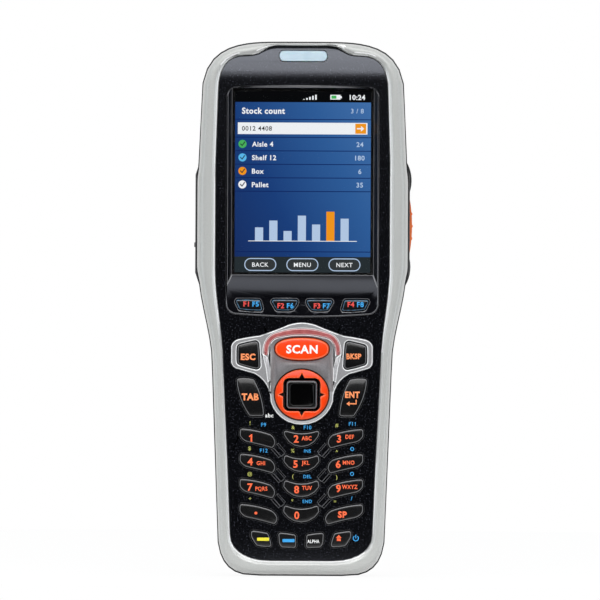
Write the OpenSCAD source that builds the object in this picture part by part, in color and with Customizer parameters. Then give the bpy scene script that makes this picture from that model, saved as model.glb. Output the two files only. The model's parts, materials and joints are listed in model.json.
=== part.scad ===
// Handheld data terminal: a moulded grip that flares into a display head, with a front keypad, a side
// trigger, a scanner in the top end, a port door in the left side and a battery door in the back.
// Millimetres. +X is right, -Y faces the user, +Z runs from the foot to the head, and the origin is the
// centre of the flat foot.

/* [Display] */
// Width of the picture area
screen_w = 43.2; // [40:0.1:46]
// Height of the picture area
screen_h = 57.6; // [52:0.1:64]
// Glossy surround beside the picture area
bezel_side = 2.6; // [2.2:0.1:3.4]
// Panel beside the surround
head_margin = 3.5; // [3:0.1:5]

/* [Keypad] */
// Distance of the outer key columns from the middle
key_col = 14.1; // [13.8:0.1:15.5]
// Distance from one number row to the next
row_pitch = 8; // [7.8:0.1:9]
// Height of the lowest key row above the foot
foot_row_z = 11.8; // [11:0.1:13]
// Step from the lowest key row to the row of the zero
zero_step = 8.2; // [8:0.1:10]
// Step from the top number row to the middle of the navigation ring
nav_step = 13.8; // [13.6:0.1:16]
// Step from the navigation ring to the scan key
scan_step = 14.5; // [14.3:0.1:16]
// Step from the scan key to the function keys
f_step = 14.1; // [14:0.1:16]
// Step from the function keys to the lower edge of the picture area
screen_step = 10.25; // [10:0.05:12]
// Distance from one function key to the next
f_pitch = 11.3; // [11:0.1:11.7]
// Gap around a key in its opening
key_gap = 0.3; // [0.2:0.05:0.4]
// Height of the key tops above the panel
key_rise = 0.9; // [0.7:0.1:1.2]
// Travel of a key
key_travel = 0.6; // [0.4:0.1:0.8]
// Width of the hidden flange around each key
skirt_w = 0.5; // [0.4:0.1:0.6]
// Thickness of the hidden flange
skirt_t = 0.75; // [0.6:0.05:1]
// Gap between the flange and the panel
skirt_gap = 0.3; // [0.2:0.05:0.4]
// Radius of the crown on the key tops
key_crown_r = 32; // [25:1:60]

/* [Case] */
// Wall thickness of the housings
wall = 1.8; // [1.5:0.1:2.2]
// Silver band beside the panel at the grip
grip_band = 4.3; // [4:0.1:5]
// Silver band beside the panel at the head
head_band = 5.55; // [5.2:0.05:7]
// Panel outside the outer keys
grip_margin = 2.9; // [2.7:0.1:4]
// Step of the half width from the foot corners to the waist
waist_step = 1.8; // [1.4:0.1:2.4]
// Length over which the waist flares into the head
flare_len = 31; // [28:1:32]
// Case above the picture area
head_cap = 15.95; // [15.5:0.05:18]
// Front of the silver frame to the joint plane of the housings
frame_depth = 7; // [6.5:0.1:8]
// Joint plane of the housings to the back of the grip
grip_depth = 21; // [20.6:0.1:24]
// How much further back the head reaches
head_extra = 4; // [3.5:0.1:6]
// Rounding of the rear edges, across
back_round = 7; // [5:0.5:7.5]
// Rounding of the rear edges, in depth
back_round_y = 8; // [6:0.5:8.5]
// Dark housing that shows beside the silver frame
frame_reveal = 0.35; // [0.2:0.05:0.6]
// Dark housing that shows below and above the silver frame
frame_end_reveal = 0.5; // [0.3:0.1:0.7]
// Front of the frame to the panel
panel_sink = 1; // [0.8:0.1:1.2]
// Thickness of the panel
panel_t = 1.8; // [1.6:0.1:2]
// Swell of the case beside the trigger and the port door
pad_swell = 0.6; // [0.3:0.05:0.8]
// Width of the side pads beyond the head
pad_rise = 0.95; // [0.85:0.05:1.2]

/* [Trigger and doors] */
// Length of the side trigger
trigger_len = 18.5; // [16:0.5:19]
// Width of the side trigger
trigger_w = 10; // [8:0.5:11]
// Height of the trigger above its pad
trigger_rise = 0.75; // [0.6:0.05:1]
// Distance from one grip rib of the trigger to the next
rib_pitch = 3.9; // [3:0.1:5]
// Travel of the trigger
trigger_travel = 0.8; // [0.5:0.1:0.9]
// Length of the port door
port_len = 13.4; // [12:0.1:14.5]
// Width of the port door
port_w = 10.5; // [9.5:0.1:11]
// Thickness of the port door
port_t = 1.3; // [1.2:0.1:1.5]
// Radius of the port door's pin
port_pin_r = 0.5; // [0.4:0.05:0.55]
// Half width of the battery door
door_half = 18.5; // [18:0.1:19]
// Height of the battery door's hinge above the foot
hinge_z = 10.5; // [10:0.1:12]
// Battery door's hinge to the lower end of the battery bay
bay_step = 3.5; // [3.2:0.1:4]
// Thickness of the battery door
door_t = 1.7; // [1.5:0.1:1.8]
// Radius of the battery door's hinge knuckles
knuckle_r = 1.5; // [1.4:0.05:1.6]
// Radius of the battery door's pin
door_pin_r = 0.6; // [0.5:0.05:0.7]
// Travel of the battery latch
latch_travel = 2.8; // [2.2:0.1:3]
// Running clearance of a pin in its bore
pin_gap = 0.05; // [0.03:0.01:0.08]
// Gap around the doors and the trigger
door_gap = 0.25; // [0.2:0.05:0.35]

/* [Inside] */
// Battery width, depth and length
battery = [33.4, 7.6, 54];
// Thickness of the circuit boards
board_t = 1; // [0.8:0.1:1.2]
// Clear gap between parts that are laid in
lay_gap = 0.1; // [0.05:0.05:0.15]
// Scan engine width, depth and height
engine = [21.6, 12, 15];
// Scan window width and depth
window = [25, 9.6];
// Radius of the housing screws' shank
screw_r = 0.84; // [0.7:0.01:0.9]
// Radius of the housing screws' head
screw_head_r = 1.9; // [1.6:0.05:2]
// Strap anchor holes: distance from one to the other
strap_pitch = 18; // [16:0.5:22]
// Radius of the strap anchor holes
strap_r = 1.1; // [0.8:0.05:1.25]

/* [Hidden] */
$fn = 40;

// Heights, from the foot up
zero_z = foot_row_z + zero_step;
nav_z = zero_z + 3 * row_pitch + nav_step;
scan_z = nav_z + scan_step;
f_z = scan_z + f_step;
screen_z = f_z + screen_step;
screen_top = screen_z + screen_h;
case_len = screen_top + head_cap;
foot_z = 18;
waist_z = nav_z + 9.2;
head_z = waist_z + flare_len;
crown_z = screen_top - 4.25;

// Half widths at the grip, the waist and the head, of the case and of the panel
panel_w = [key_col + 5.6 + grip_margin, key_col + 8 + grip_margin, screen_w / 2 + bezel_side + head_margin];
case_w = [panel_w[0] + grip_band, panel_w[0] + grip_band + waist_step, panel_w[2] + head_band];
head_taper = 0.6;
foot_flat = 13;

// Depths, from the front back
joint_y = -(grip_depth - back_round_y) / 2;
rim_y = joint_y - frame_depth;
panel_y = rim_y + panel_sink;
panel_back = panel_y + panel_t;
key_y = panel_y - key_rise;
skirt_y = panel_back + skirt_gap;
skirt_back = skirt_y + skirt_t;
membrane_y = skirt_back + key_travel + 0.05;
membrane_t = 0.9;
stem_y = membrane_y + membrane_t - 0.2;
dome_y = stem_y + key_travel + 0.1;
dome_h = 0.3;
keyboard_y = dome_y + dome_h;
ledge_back = panel_back + 1;
ledge_w = 1.2;
panel_gap = 0.12;
surround_y = panel_y - 0.2;
glass_y = panel_back + 0.25;
glass_t = 1.2;
lcd_y = glass_y + glass_t + lay_gap;
lcd_t = 3.1;
rim_back = lcd_y + 1.2;
main_y = lcd_y + lcd_t + 5.15;
grip_back = joint_y + grip_depth;
head_back = grip_back + head_extra;

// Outline helpers
function clamp(t) = max(0, min(1, t));
function smooth(t) = let (u = clamp(t)) u * u * (3 - 2 * u);
// Half width at height z of an outline with the half widths w
function side_x(w, z) = w[0] + (w[1] - w[0]) * clamp((z - foot_z) / (waist_z - foot_z))
    + (w[2] - w[1]) * smooth((z - waist_z) / flare_len);
// Rounded corner from [from.x, end] to [side, from.y], as a quarter of a superellipse of power n
function corner(side, from, end, n, turns) = [for (a = turns)
    [from.x + (side - from.x) * pow(sin(a), 2 / n), from.y + (end - from.y) * pow(cos(a), 2 / n)]];
up = [0, 14, 26, 38, 50, 62, 75, 90];
down = [for (i = [len(up) - 1:-1:0]) up[i]];
crown_turns = [90, 75, 62, 50, 40, 31, 23, 16, 12, 8, 4, 0];
side_heights = [36, waist_z - 3, for (k = [1:6]) waist_z + k * flare_len / 7, head_z - 1, head_z + 0.5,
    head_z + 27.5, head_z + 29.5, head_z + 31.5, head_z + 33.5];
// Half width of the case at height z, which swells a little beside the trigger and the port door
function case_x(z) = side_x(case_w, z)
    + pad_swell * smooth((z - head_z + 4.5) / 5) * smooth((head_z + 33.5 - z) / 6);
// Whole outline from its right half, which runs from the foot to the top
function both(half) = concat(half, [for (i = [len(half) - 1:-1:0]) if (half[i].x > 0) [-half[i].x, half[i].y]]);
// Right half of the case's outline, drawn in by side and by end
function case_half(side, end) = concat(
    corner(side_x(case_w, foot_z) - side, [foot_flat, foot_z], end, 3, up),
    [for (z = side_heights) [case_x(z) - side, z]],
    corner(case_w[2] - head_taper - side, [5, crown_z - 4], case_len - end, 3.4, crown_turns));
function case_outline(side, end) = both(case_half(side, end));
// Outline of the panel, with the raised tab around the lamp at its top
shoulder_z = case_len - 4.5;
tab_z = case_len - 1.5;
tab_half = 9;
tab_foot = 16;
// Drawn in by t, or out where t is negative
function panel_outline(t = 0) = both(concat(
    corner(side_x(panel_w, 13.4) - t, [10, 13.4], 5 + t, 2.15, up),
    [for (z = side_heights) [side_x(panel_w, z) - t, z]],
    corner(panel_w[2] - head_taper - t, [tab_foot, shoulder_z - 14.7], shoulder_z - t, 3, down),
    [for (k = [0.25:0.25:1])
        [tab_foot - (tab_foot - tab_half) * k - t / 2, shoulder_z - t + (tab_z - shoulder_z) * smooth(k)]]));
// Points on the edge that starts at a and ends at b, bowed outwards by a[2]
function bow(a, b, n) = a[2] == 0 || a[2] == undef ? [[a.x, a.y]] :
    let (d = [b.x - a.x, b.y - a.y], c = norm(d), s = abs(a[2]), r = (c * c / 4 + s * s) / (2 * s),
        side = sign(a[2]), mid = [(a.x + b.x) / 2, (a.y + b.y) / 2],
        o = mid + [-d.y, d.x] * side * (r - s) / c, turn = side * 2 * atan2(c / 2, r - s), v = [a.x, a.y] - o)
    [for (i = [0:n - 1]) let (q = turn * i / n) o + [v.x * cos(q) - v.y * sin(q), v.x * sin(q) + v.y * cos(q)]];
// Closed outline through [x, z, bow] points, which run anticlockwise seen from the front
function bowed(p, n = 6) = [for (i = [0:len(p) - 1]) each bow(p[i], p[(i + 1) % len(p)], n)];
// Right half of a symmetric outline, open at the middle
function bowed_half(p, n = 6) = both(concat([for (i = [0:len(p) - 2]) each bow(p[i], p[i + 1], n)],
    [[p[len(p) - 1].x, p[len(p) - 1].y]]));
function mirrored(p) = [for (i = [len(p) - 1:-1:0]) let (b = p[(i + len(p) - 1) % len(p)]) [-p[i].x, p[i].y, b[2]]];
function shifted(p, x, z) = [for (q = p) [q.x + x, q.y + z, q[2]]];

// Solid helpers
// Plate between two depths, from an outline in the X-Z plane
module slab(front, back) translate([0, back, 0]) rotate([90, 0, 0]) linear_extrude(back - front) children();
module block(x, y, z) translate([x[0], y[0], z[0]]) cube([x[1] - x[0], y[1] - y[0], z[1] - z[0]]);
// Round bar along Y, from front to back
module bar_y(x, z, front, back, r) translate([x, back, z]) rotate([90, 0, 0]) cylinder(r = r, h = back - front);
// Round bar along X
module bar_x(y, z, x0, x1, r) translate([x0, y, z]) rotate([0, 90, 0]) cylinder(r = r, h = x1 - x0);
module both_sides() {
    children();
    mirror([1, 0, 0]) children();
}
module both_sides_flat() {
    children();
    mirror([1, 0]) children();
}
module rounded(r) offset(r = r, $fn = 20) offset(delta = -r) children();
module rect(x, z) translate([x[0], z[0]]) square([x[1] - x[0], z[1] - z[0]]);
// Closed solid through rings of equal point count, front ring first
module loft(rings) {
    n = len(rings[0]);
    last = (len(rings) - 1) * n;
    faces = concat(
        [for (k = [0:len(rings) - 2], i = [0:n - 1]) let (a = k * n + i, b = k * n + (i + 1) % n)
            each [[a, b, b + n], [a, b + n, a + n]]],
        [for (i = [0:n / 2 - 2]) [i, n - 1 - i, n - 2 - i, i + 1]],
        [for (i = [0:n / 2 - 2]) [last + i, last + i + 1, last + n - 2 - i, last + n - 1 - i]]);
    polyhedron([for (r = rings) each r], faces, convexity = 6);
}
// Depth of the case's back at height z
function back_y(z) = grip_back + head_extra * smooth((z - waist_z - 4) / (flare_len + 2));
// Ring of the rear shell, turned by a degrees round its rear edge, drawn in by t all round
function back_ring(a, t) = [for (p = case_outline(t + back_round * (1 - cos(a)), t + (back_round - 1) * (1 - cos(a))))
    [p.x, back_y(p.y) - t - back_round_y * (1 - sin(a)), p.y]];
function flat_ring(y, side, end) = [for (p = case_outline(side, end)) [p.x, y, p.y]];
module rear_shell(t) loft(concat([flat_ring(joint_y - t / 4, t, t)], [for (a = [0:18:90]) back_ring(a, t)]));

// Places that several pieces share
pillars = [[case_w[0] - 4.1, zero_z + 1], [case_w[2] - 5.1, crown_z]];
pillar_r = 2.4;
rear_pillar_r = 3;
screw_seat = joint_y + 3.5;
keypad_bosses = [[panel_w[0] - 0.7, 15.6], [panel_w[0] + 0.3, nav_z - 8.7], [panel_w[1] + 0.2, f_z - 5.6]];
main_bosses = [for (z = [screen_z + 2, crown_z - 8]) [case_w[2] - 4.8, z]];
boss_r = 1.8;
pilot_r = 0.5;
pad_z = [head_z - 5.4, head_z + 33.7];
pad_mid = (pad_z[0] + pad_z[1]) / 2 - 1.3;
strap_z = head_z + 10;
pad_x = case_w[2] + pad_rise;
trigger_z = pad_mid + 0.75;
trigger_crown_r = 50;
trigger_ribs = [for (i = [-1:1]) i * rib_pitch];
side_wall_x = case_w[2] - wall + 0.4;
side_mid_y = main_y + 3.5;
pad_y = [side_mid_y - 8, side_mid_y + 7.5];
bay_z = [hinge_z + bay_step, hinge_z + bay_step + battery.z + 1.4];
bay_half = battery.x / 2 + 0.4;
door_y = grip_back - door_t;
bay_y = door_y - 1.45 - battery.y - 0.4;
contact_x = [for (i = [-1.5:1.5]) 4 * i];
contact_w = 1.8;
contact_z = [bay_z[0] + 3, bay_z[0] + 8];
hinge_y = grip_back - knuckle_r - 0.1;
door_top = bay_z[1] + 7.4;
// Lower edge of the battery door's full width
wing_z = hinge_z + 5;
port_z = [pad_mid - port_len / 2, pad_mid + port_len / 2];
port_pin_z = port_z[1] - 1.2;
port_knuckle_r = port_t / 2 + 0.35;
port_pin_x = -(pad_x - port_knuckle_r);
usb = [4, 7.7, 7];
window_y = [joint_y + 4.2, joint_y + 4.2 + window.y];
io_y = [1, 5.8];
speaker_z = crown_z - 16;

// ---------- Housings ----------

// Raised pad on the side of the head: sloping ends, rounded front and rear edges
module side_pad() intersection() {
    slab(pad_y[0], pad_y[1]) polygon([[case_w[2] - 2.5, pad_z[0] - 2], [case_w[2] - 0.4, pad_z[0]],
        [pad_x, pad_z[0] + 4], [pad_x, pad_z[1] - 4], [case_w[2] - 0.4, pad_z[1]],
        [case_w[2] - 2.5, pad_z[1] + 2]]);
    translate([0, 0, pad_z[0] - 3]) linear_extrude(pad_z[1] - pad_z[0] + 6) rounded(1.6)
        translate([case_w[2] - 6, pad_y[0]]) square([pad_x - case_w[2] + 6, pad_y[1] - pad_y[0]]);
}

// Bumps that guard the trigger against knocks
module trigger_guards() intersection() {
    for (g = [[pad_z[0] + 6, 0.3], [pad_z[1] - 5.6, 0.55]]) translate([pad_x - guard_r + g[1], side_mid_y, g[0]])
        rotate([90, 0, 0]) cylinder(r = guard_r, h = trigger_w - 1, center = true, $fn = 90);
    block([case_w[2] - 0.8, pad_x + 2], pad_y, pad_z);
}
guard_r = 12;

module strap_boss(x) bar_y(x, strap_z, head_back - 7, head_back - 0.5, 2.6);

module back_housing() color("#1b1b1d") difference() {
    union() {
        difference() {
            rear_shell(0);
            rear_shell(wall);
        }
        both_sides() side_pad();
        trigger_guards();
        intersection() {
            rear_shell(0.2);
            union() {
                for (p = pillars) both_sides() bar_y(p.x, p.y, joint_y + 0.05, head_back, rear_pillar_r);
                both_sides() strap_boss(strap_pitch / 2);
                block([-bay_half - 1.2, bay_half + 1.2], [bay_y - 1.2, grip_back], [bay_z[0] - 1.2, bay_z[1] + 1.2]);
                block([-door_half - 1.2, door_half + 1.2], [hinge_y - knuckle_r - 1.6, grip_back], [3, bay_z[0]]);
                // Seat of the battery door and of the latch's pocket
                block([-door_half - 1.4, door_half + 1.4], [door_y - 2.5, head_back],
                    [bay_z[0] - 1, door_top + latch_travel + 2]);
                both_sides() block([5, 6.4], [window_y[0] + engine.y + 0.2, head_back],
                    [crown_z + 1, case_len - wall]);
            }
        }
    }
    // Insides of the side pads
    both_sides() block([case_w[2] - 5, side_wall_x], [pad_y[0] + 1.2, pad_y[1] - 1.2],
        [pad_z[0] + 6, pad_z[1] - 6]);
    // Battery bay and the door's recess with its hinge
    block([-bay_half, bay_half], [bay_y, grip_back + 1], bay_z);
    block([-door_half - door_gap, door_half + door_gap], [door_y - 0.15, grip_back + 1],
        [wing_z - 0.4, door_top + door_gap]);
    block([-bay_half, bay_half], [hinge_y, grip_back + 1], [hinge_z - knuckle_r - door_gap, wing_z]);
    block([-bay_half, bay_half], [hinge_y - knuckle_r - door_gap, grip_back + 1], [hinge_z, bay_z[0] + 1]);
    bar_x(hinge_y, hinge_z, -bay_half, bay_half, knuckle_r + door_gap);
    bar_x(hinge_y, hinge_z, -door_half, door_half, door_pin_r + 0.02);
    // Pocket that the latch's tongue enters
    block([-5.5, 5.5], [door_y - 1.45, door_y - 0.1], [bay_z[1] - 1, door_top + latch_travel + 0.5]);
    // Slots of the battery contacts
    for (x = contact_x) block([x - contact_w / 2 - 0.05, x + contact_w / 2 + 0.05], [bay_y - 2, bay_y + 1],
        [contact_z[0] - 0.05, contact_z[1] + 0.05]);
    // Trigger opening, port opening and scan window
    slab_side() rounded(1.2) square([trigger_w + 2 * door_gap, trigger_len + 2 * door_gap], center = true);
    port_opening();
    slab_top(case_len - 5, case_len + 1) rounded(1.5) square([window.x, window.y], center = true);
    slab_top(case_len - 3, case_len - 1.4) square([window.x + 1.6, window.y + 1.6], center = true);
    // Connector in the foot
    block([-9.2, 9.2], io_y, [-1, wall + 0.5]);
    // Screw holes, from the back
    for (p = pillars) both_sides() {
        bar_y(p.x, p.y, joint_y - 1, head_back + 1, screw_r + 0.3);
        bar_y(p.x, p.y, screw_seat, head_back + 1, screw_head_r + 0.2);
    }
    both_sides() bar_y(strap_pitch / 2, strap_z, head_back - 5, head_back + 1, strap_r);
    // Sound slots over the speaker
    for (i = [-3:3]) slab(head_back - wall - 1, head_back + 1) translate([i * 2.4, speaker_z])
        rounded(0.55) square([1.2, 10 - abs(i) * 1.4], center = true);
}
module slab_side() translate([pad_x - 8, side_mid_y, trigger_z]) rotate([90, 0, 90]) linear_extrude(10) children();
module slab_top(z0, z1) translate([0, (window_y[0] + window_y[1]) / 2, z0]) linear_extrude(z1 - z0) children();
module port_opening() {
    y = [side_mid_y - port_w / 2 - door_gap, side_mid_y + port_w / 2 + door_gap];
    block([-pad_x - 1, -pad_x + port_t + 0.4], y, [port_z[0] - door_gap, port_z[1] + 0.35]);
    block([-pad_x - 1, -case_w[2] + wall + 1], [side_mid_y - 2.9, side_mid_y + 2.4], [pad_mid - 5.4, pad_mid + 3.4]);
    bar_y(port_pin_x, port_pin_z, y[0] - 1.4, y[1] + 1.4, port_pin_r + 0.02);
    bar_y(port_pin_x, port_pin_z, y[0], y[1], port_knuckle_r + 0.25);
    block([-pad_x - 1, -pad_x + 0.8], [side_mid_y - 2, side_mid_y + 2], [port_z[0] - 1.6, port_z[0]]);
}

// Ring that lies the share f of the way from the case's edge to the panel's edge
function band_ring(f, y) = let (p = case_outline(frame_reveal, frame_end_reveal), q = panel_outline(-panel_gap))
    [for (i = [0:len(p) - 1]) let (c = p[i] + (q[i] - p[i]) * f) [c.x, y, c.y]];
function outline_ring(p, y) = [for (q = p) [q.x, y, q.y]];
// Ring-shaped solid through closed rings, which run round its section
module hoop(rings) {
    n = len(rings[0]);
    m = len(rings);
    polyhedron([for (r = rings) each r], [for (k = [0:m - 1], i = [0:n - 1])
        let (a = k * n + i, b = k * n + (i + 1) % n, d = ((k + 1) % m - k) * n)
            each [[a, b, b + d], [a, b + d, a + d]]], convexity = 8);
}
// Domed band, its inner edge and the ledge that carries the panel
// Section of the band: [share of the way from the case's edge to the panel, depth behind the front]
band_section = [[0.985, 0.62], [0.8, 0.1], [0.76, 0], [0.56, 0], [0.38, 0.1], [0.25, 0.4], [0.15, 1], [0.07, 2],
    [0.02, 3.4], [0, 5], [0, frame_depth]];
module frame_band() hoop(concat(
    [for (q = band_section) band_ring(q[0], rim_y + q[1])],
    [outline_ring(case_outline(frame_reveal + wall, frame_end_reveal + wall), joint_y),
    outline_ring(case_outline(frame_reveal + wall, frame_end_reveal + wall), ledge_back),
    outline_ring(panel_outline(ledge_w), ledge_back),
    outline_ring(panel_outline(ledge_w), panel_back),
    outline_ring(panel_outline(-panel_gap), panel_back),
    outline_ring(panel_outline(-panel_gap), panel_y - 0.15)]));

module front_frame() color("#b9bcbe") difference() {
    union() {
        frame_band();
        for (p = pillars) both_sides() bar_y(p.x, p.y, ledge_back - 0.5, joint_y, pillar_r);
        for (p = keypad_bosses) both_sides() bar_y(p.x, p.y, ledge_back - 0.5, keyboard_y, boss_r);
        for (p = main_bosses) both_sides() bar_y(p.x, p.y, ledge_back - 0.5, main_y, boss_r);
    }
    for (p = pillars) both_sides() bar_y(p.x, p.y, ledge_back - 0.3, joint_y + 1, screw_r + 0.01);
    for (p = keypad_bosses) both_sides() bar_y(p.x, p.y, keyboard_y - 2, keyboard_y + 1, pilot_r + 0.01);
    for (p = main_bosses) both_sides() bar_y(p.x, p.y, main_y - 3, main_y + 1, pilot_r + 0.01);
}

// ---------- Key outlines ----------

function esc_path() = [[-key_col - 6.3, scan_z - 4.7, 0.15], [-key_col + 0.7, scan_z - 6.5, 0.1],
    [-key_col + 0.1, scan_z + 2.6, 0.1], [-key_col - 6.3, scan_z + 1.1, 0.1]];
function tab_path() = [[-key_col - 6.7, nav_z + 5, 0.9], [-key_col - 2.5, nav_z - 6.8, 0.1],
    [-key_col + 2.2, nav_z - 6.8, 0.7], [-key_col - 1.1, nav_z + 4.8, 0.35]];
// Leaf of the outer number keys, whose tip reaches further in on the lowest one
function outer_path(reach) = [[-5.5, 0.6, 0.35], [-3, -1.35, -0.1], [4.9 + reach, -3.3 - reach / 4, 0.1],
    [5.8 + reach, -1.6 - reach / 4, 0.4 + reach / 8], [4.2, 1.2, 0.35], [-5.4, 3.05, 0.1]];
// Bowl of the middle number keys: half width at its top corners and at its sides
function bowl_path(top, side) = [[-top, 2.85, 0.05], [-side, 0.5, 3.35], [side, 0.5, 0.05], [top, 2.85, -1.3]];
function low_outer_path() = [[-1.8, 0.8, 0.1], [0, -2.1, 0.1], [4.8, -2.5, 0.2], [3.5, 2, 0.1], [-1.9, 2.8, 0]];
function low_inner_path() = [[-7.1, -0.3, 0.3], [-6.1, -2.6, 0], [-1.6, -2.8, 0.1], [-1.7, 1.5, 0.1], [-7.3, 2.2, 0]];
function f_outer_path() = [[-4.45, 1.5, 0], [-3, -1.5, 0.15], [4.45, -1.9, 0], [3.45, 1.5, 0.05]];
function f_inner_path() = [[-4.35, 1.5, 0], [-2.5, -1.7, 0.15], [2.5, -1.7, 0.3], [4.35, 1.5, 0.1]];
function row_z(n) = zero_z + n * row_pitch;
module shape(p, r = 0.8) rounded(r) polygon(bowed(p));
function ellipse(a, b, n) = [for (i = [0:n - 1]) [a * cos(360 * i / n), b * sin(360 * i / n)]];
// Keys by name: [outline, corner radius]
function outline_of(key) =
    key == "escape" ? esc_path() : key == "backspace" ? mirrored(esc_path()) :
    key == "tab" ? tab_path() : key == "enter" ? mirrored(tab_path()) :
    key == "f1" ? shifted(f_outer_path(), -1.5 * f_pitch, f_z) :
    key == "f2" ? shifted(f_inner_path(), -0.5 * f_pitch, f_z) :
    key == "f3" ? mirrored(shifted(f_inner_path(), -0.5 * f_pitch, f_z)) :
    key == "f4" ? mirrored(shifted(f_outer_path(), -1.5 * f_pitch, f_z)) :
    key == "yellow" ? shifted(low_outer_path(), -key_col, foot_row_z) :
    key == "blue" ? shifted(low_inner_path(), 0, foot_row_z) :
    key == "alpha" ? mirrored(shifted(low_inner_path(), 0, foot_row_z)) :
    key == "power" ? mirrored(shifted(low_outer_path(), -key_col, foot_row_z)) : undef;
// Key of the number block in column -1, 0 or 1 and row 0 to 3
function number_path(col, row) = let (leaf = shifted(outer_path(row == 0 ? 0.8 : 0), -key_col, row_z(row)))
    col < 0 ? leaf : col > 0 ? mirrored(leaf) :
    shifted(row == 3 ? bowl_path(6, 5.35) : bowl_path(5.35, 5.75), 0, row_z(row));
side_keys = ["escape", "backspace"];
panel_keys = ["tab", "enter", "yellow", "blue", "alpha", "power"];
f_keys = ["f1", "f2", "f3", "f4"];
module scan_shape() translate([0, scan_z]) polygon([for (i = [0:59]) let (c = cos(6 * i), s = sin(6 * i))
    [8.6 * sign(c) * pow(abs(c), 0.84), 3.55 * sign(s) * pow(abs(s), 0.84)]]);
module ring_shape() translate([0, nav_z]) polygon(ellipse(8.6, 8.05, 56));
module ring_hole() translate([0, nav_z]) {
    rounded(1.9) square([11.8, 10.5], center = true);
    for (a = [0, 90, 180, 270]) rotate(a) polygon([[4, -1.5], [a % 180 == 0 ? 7.3 : 6.8, 0], [4, 1.5]]);
}
module centre_shape() translate([0, nav_z]) rounded(1.3) square([9.9, 9.1], center = true);

// Key: a crowned cap through its opening, a flange behind the panel and a stem that presses the dome
module key(p, r = 0.8) color("#161618") {
    c = middle(p);
    intersection() {
        slab(key_y, skirt_y + 0.1) shape(p, r);
        translate([c.x, key_y + key_crown_r, c.y]) sphere(r = key_crown_r, $fn = 180);
    }
    slab(skirt_y, skirt_back) offset(delta = skirt_w) shape(p, r);
    bar_y(c.x, c.y, skirt_back - 0.1, stem_y, stem_r);
}
stem_r = 1.2;
// Middle of a key, where its stem and its dome sit
function middle(p) = [for (k = [0, 1]) (max([for (q = bowed(p)) q[k]]) + min([for (q = bowed(p)) q[k]])) / 2];
nav_stems = [[0, 6.7], [0, -6.7], [7, 0], [-7, 0]];
stem_places = concat([for (k = concat(side_keys, panel_keys, f_keys)) middle(outline_of(k))],
    [for (c = [-1:1], r = [0:3]) middle(number_path(c, r))], [[0, scan_z], [0, nav_z]],
    [for (s = nav_stems) [s.x, s.y + nav_z]]);

// ---------- Front ----------

module keypad_openings() {
    for (k = panel_keys) shape(outline_of(k));
    for (c = [-1:1], r = [0:3]) shape(number_path(c, r));
}
module plate_openings() {
    for (k = side_keys) shape(outline_of(k), 1);
    scan_shape();
    ring_shape();
}
// Silver shield around the scan key and the navigation ring
module plate_shape() offset(r = -1.2, $fn = 24) offset(r = 2.4, $fn = 24) offset(delta = -1.2)
    polygon(bowed_half([[0, nav_z - 9.5, 2.1], [9.9, nav_z - 2.2, -1.5], [key_col + 0.9, nav_z + 6.6, 0],
    [key_col + 6.9, scan_z - 6.2, 0.4], [key_col + 8.4, scan_z - 4, 0], [key_col + 8.4, scan_z + 0.9, 0.4],
    [key_col + 6.2, scan_z + 3, 0.1], [key_col - 0.7, scan_z + 4.2, -0.1], [4.2, scan_z + 7.7, 0.15],
    [0, scan_z + 8.4]]));
function guide_outer() = [[12.2, scan_z - 2, 0.1], [12, scan_z + 1.2, 0.9], [7.6, scan_z + 5.3, 0.3], [0, scan_z + 6.5]];
function guide_inner() = [[10.9, scan_z - 3, 0.1], [10.5, scan_z + 0.8, 0.8], [6.8, scan_z + 3.8, 0.25], [0, scan_z + 4.6]];
module guide_shape() difference() {
    polygon(bowed_half(guide_outer()));
    polygon(bowed_half(guide_inner()));
}
module surround_shape() rounded(3.2) polygon(bowed([[-screen_w / 2 - bezel_side, f_z - 2.7, 1.1],
    [screen_w / 2 + bezel_side, f_z - 2.7, 0], [screen_w / 2 + bezel_side, screen_top + 1.2, 0.7],
    [-screen_w / 2 - bezel_side, screen_top + 1.2, 0]], 12));
module lamp_shape() translate([0, case_len - 4.7]) rounded(1.7) square([15.6, 3.8], center = true);

plate_y = panel_y - 0.7;
plate_t = 1.1;
module front_panel() color("#1d1d20") difference() {
    union() {
        intersection() {
            slab(panel_y, panel_back) polygon(panel_outline());
            // The front curves back towards the top
            union() {
                block([-40, 40], [panel_y - 1, panel_back + 1], [0, screen_top + 3]);
                bar_x(panel_y + 47, screen_top + 3, -40, 40, 47, $fn = 120);
            }
        }
        link_ribs();
    }
    slab(panel_y - 1, plate_y + plate_t) offset(delta = 0.08) plate_shape();
    slab(panel_y - 1, panel_back + 1) {
        offset(delta = key_gap) {
            keypad_openings();
            plate_openings();
        }
        offset(delta = 0.08) surround_shape();
        lamp_shape();
    }
    slab(panel_y - 1, panel_back + 1) offset(delta = 0.06) guide_shape();
    link_recesses();
}
// Short bridges between the key columns: a sunk field between two ribs
module at_links() for (r = [1:3]) both_sides_flat() translate([-7.2, row_z(r) - 3.9]) rotate(-48) children();
module link_recesses() slab(panel_y - 1, panel_y + 0.3) at_links() square([3.9, 1.5], center = true);
module link_ribs() slab(panel_y - 0.25, panel_y + 0.1) at_links() {
    translate([0, 1.1]) square([3.5, 0.4], center = true);
    translate([0, -1.25]) square([3.5, 0.7], center = true);
}

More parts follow.
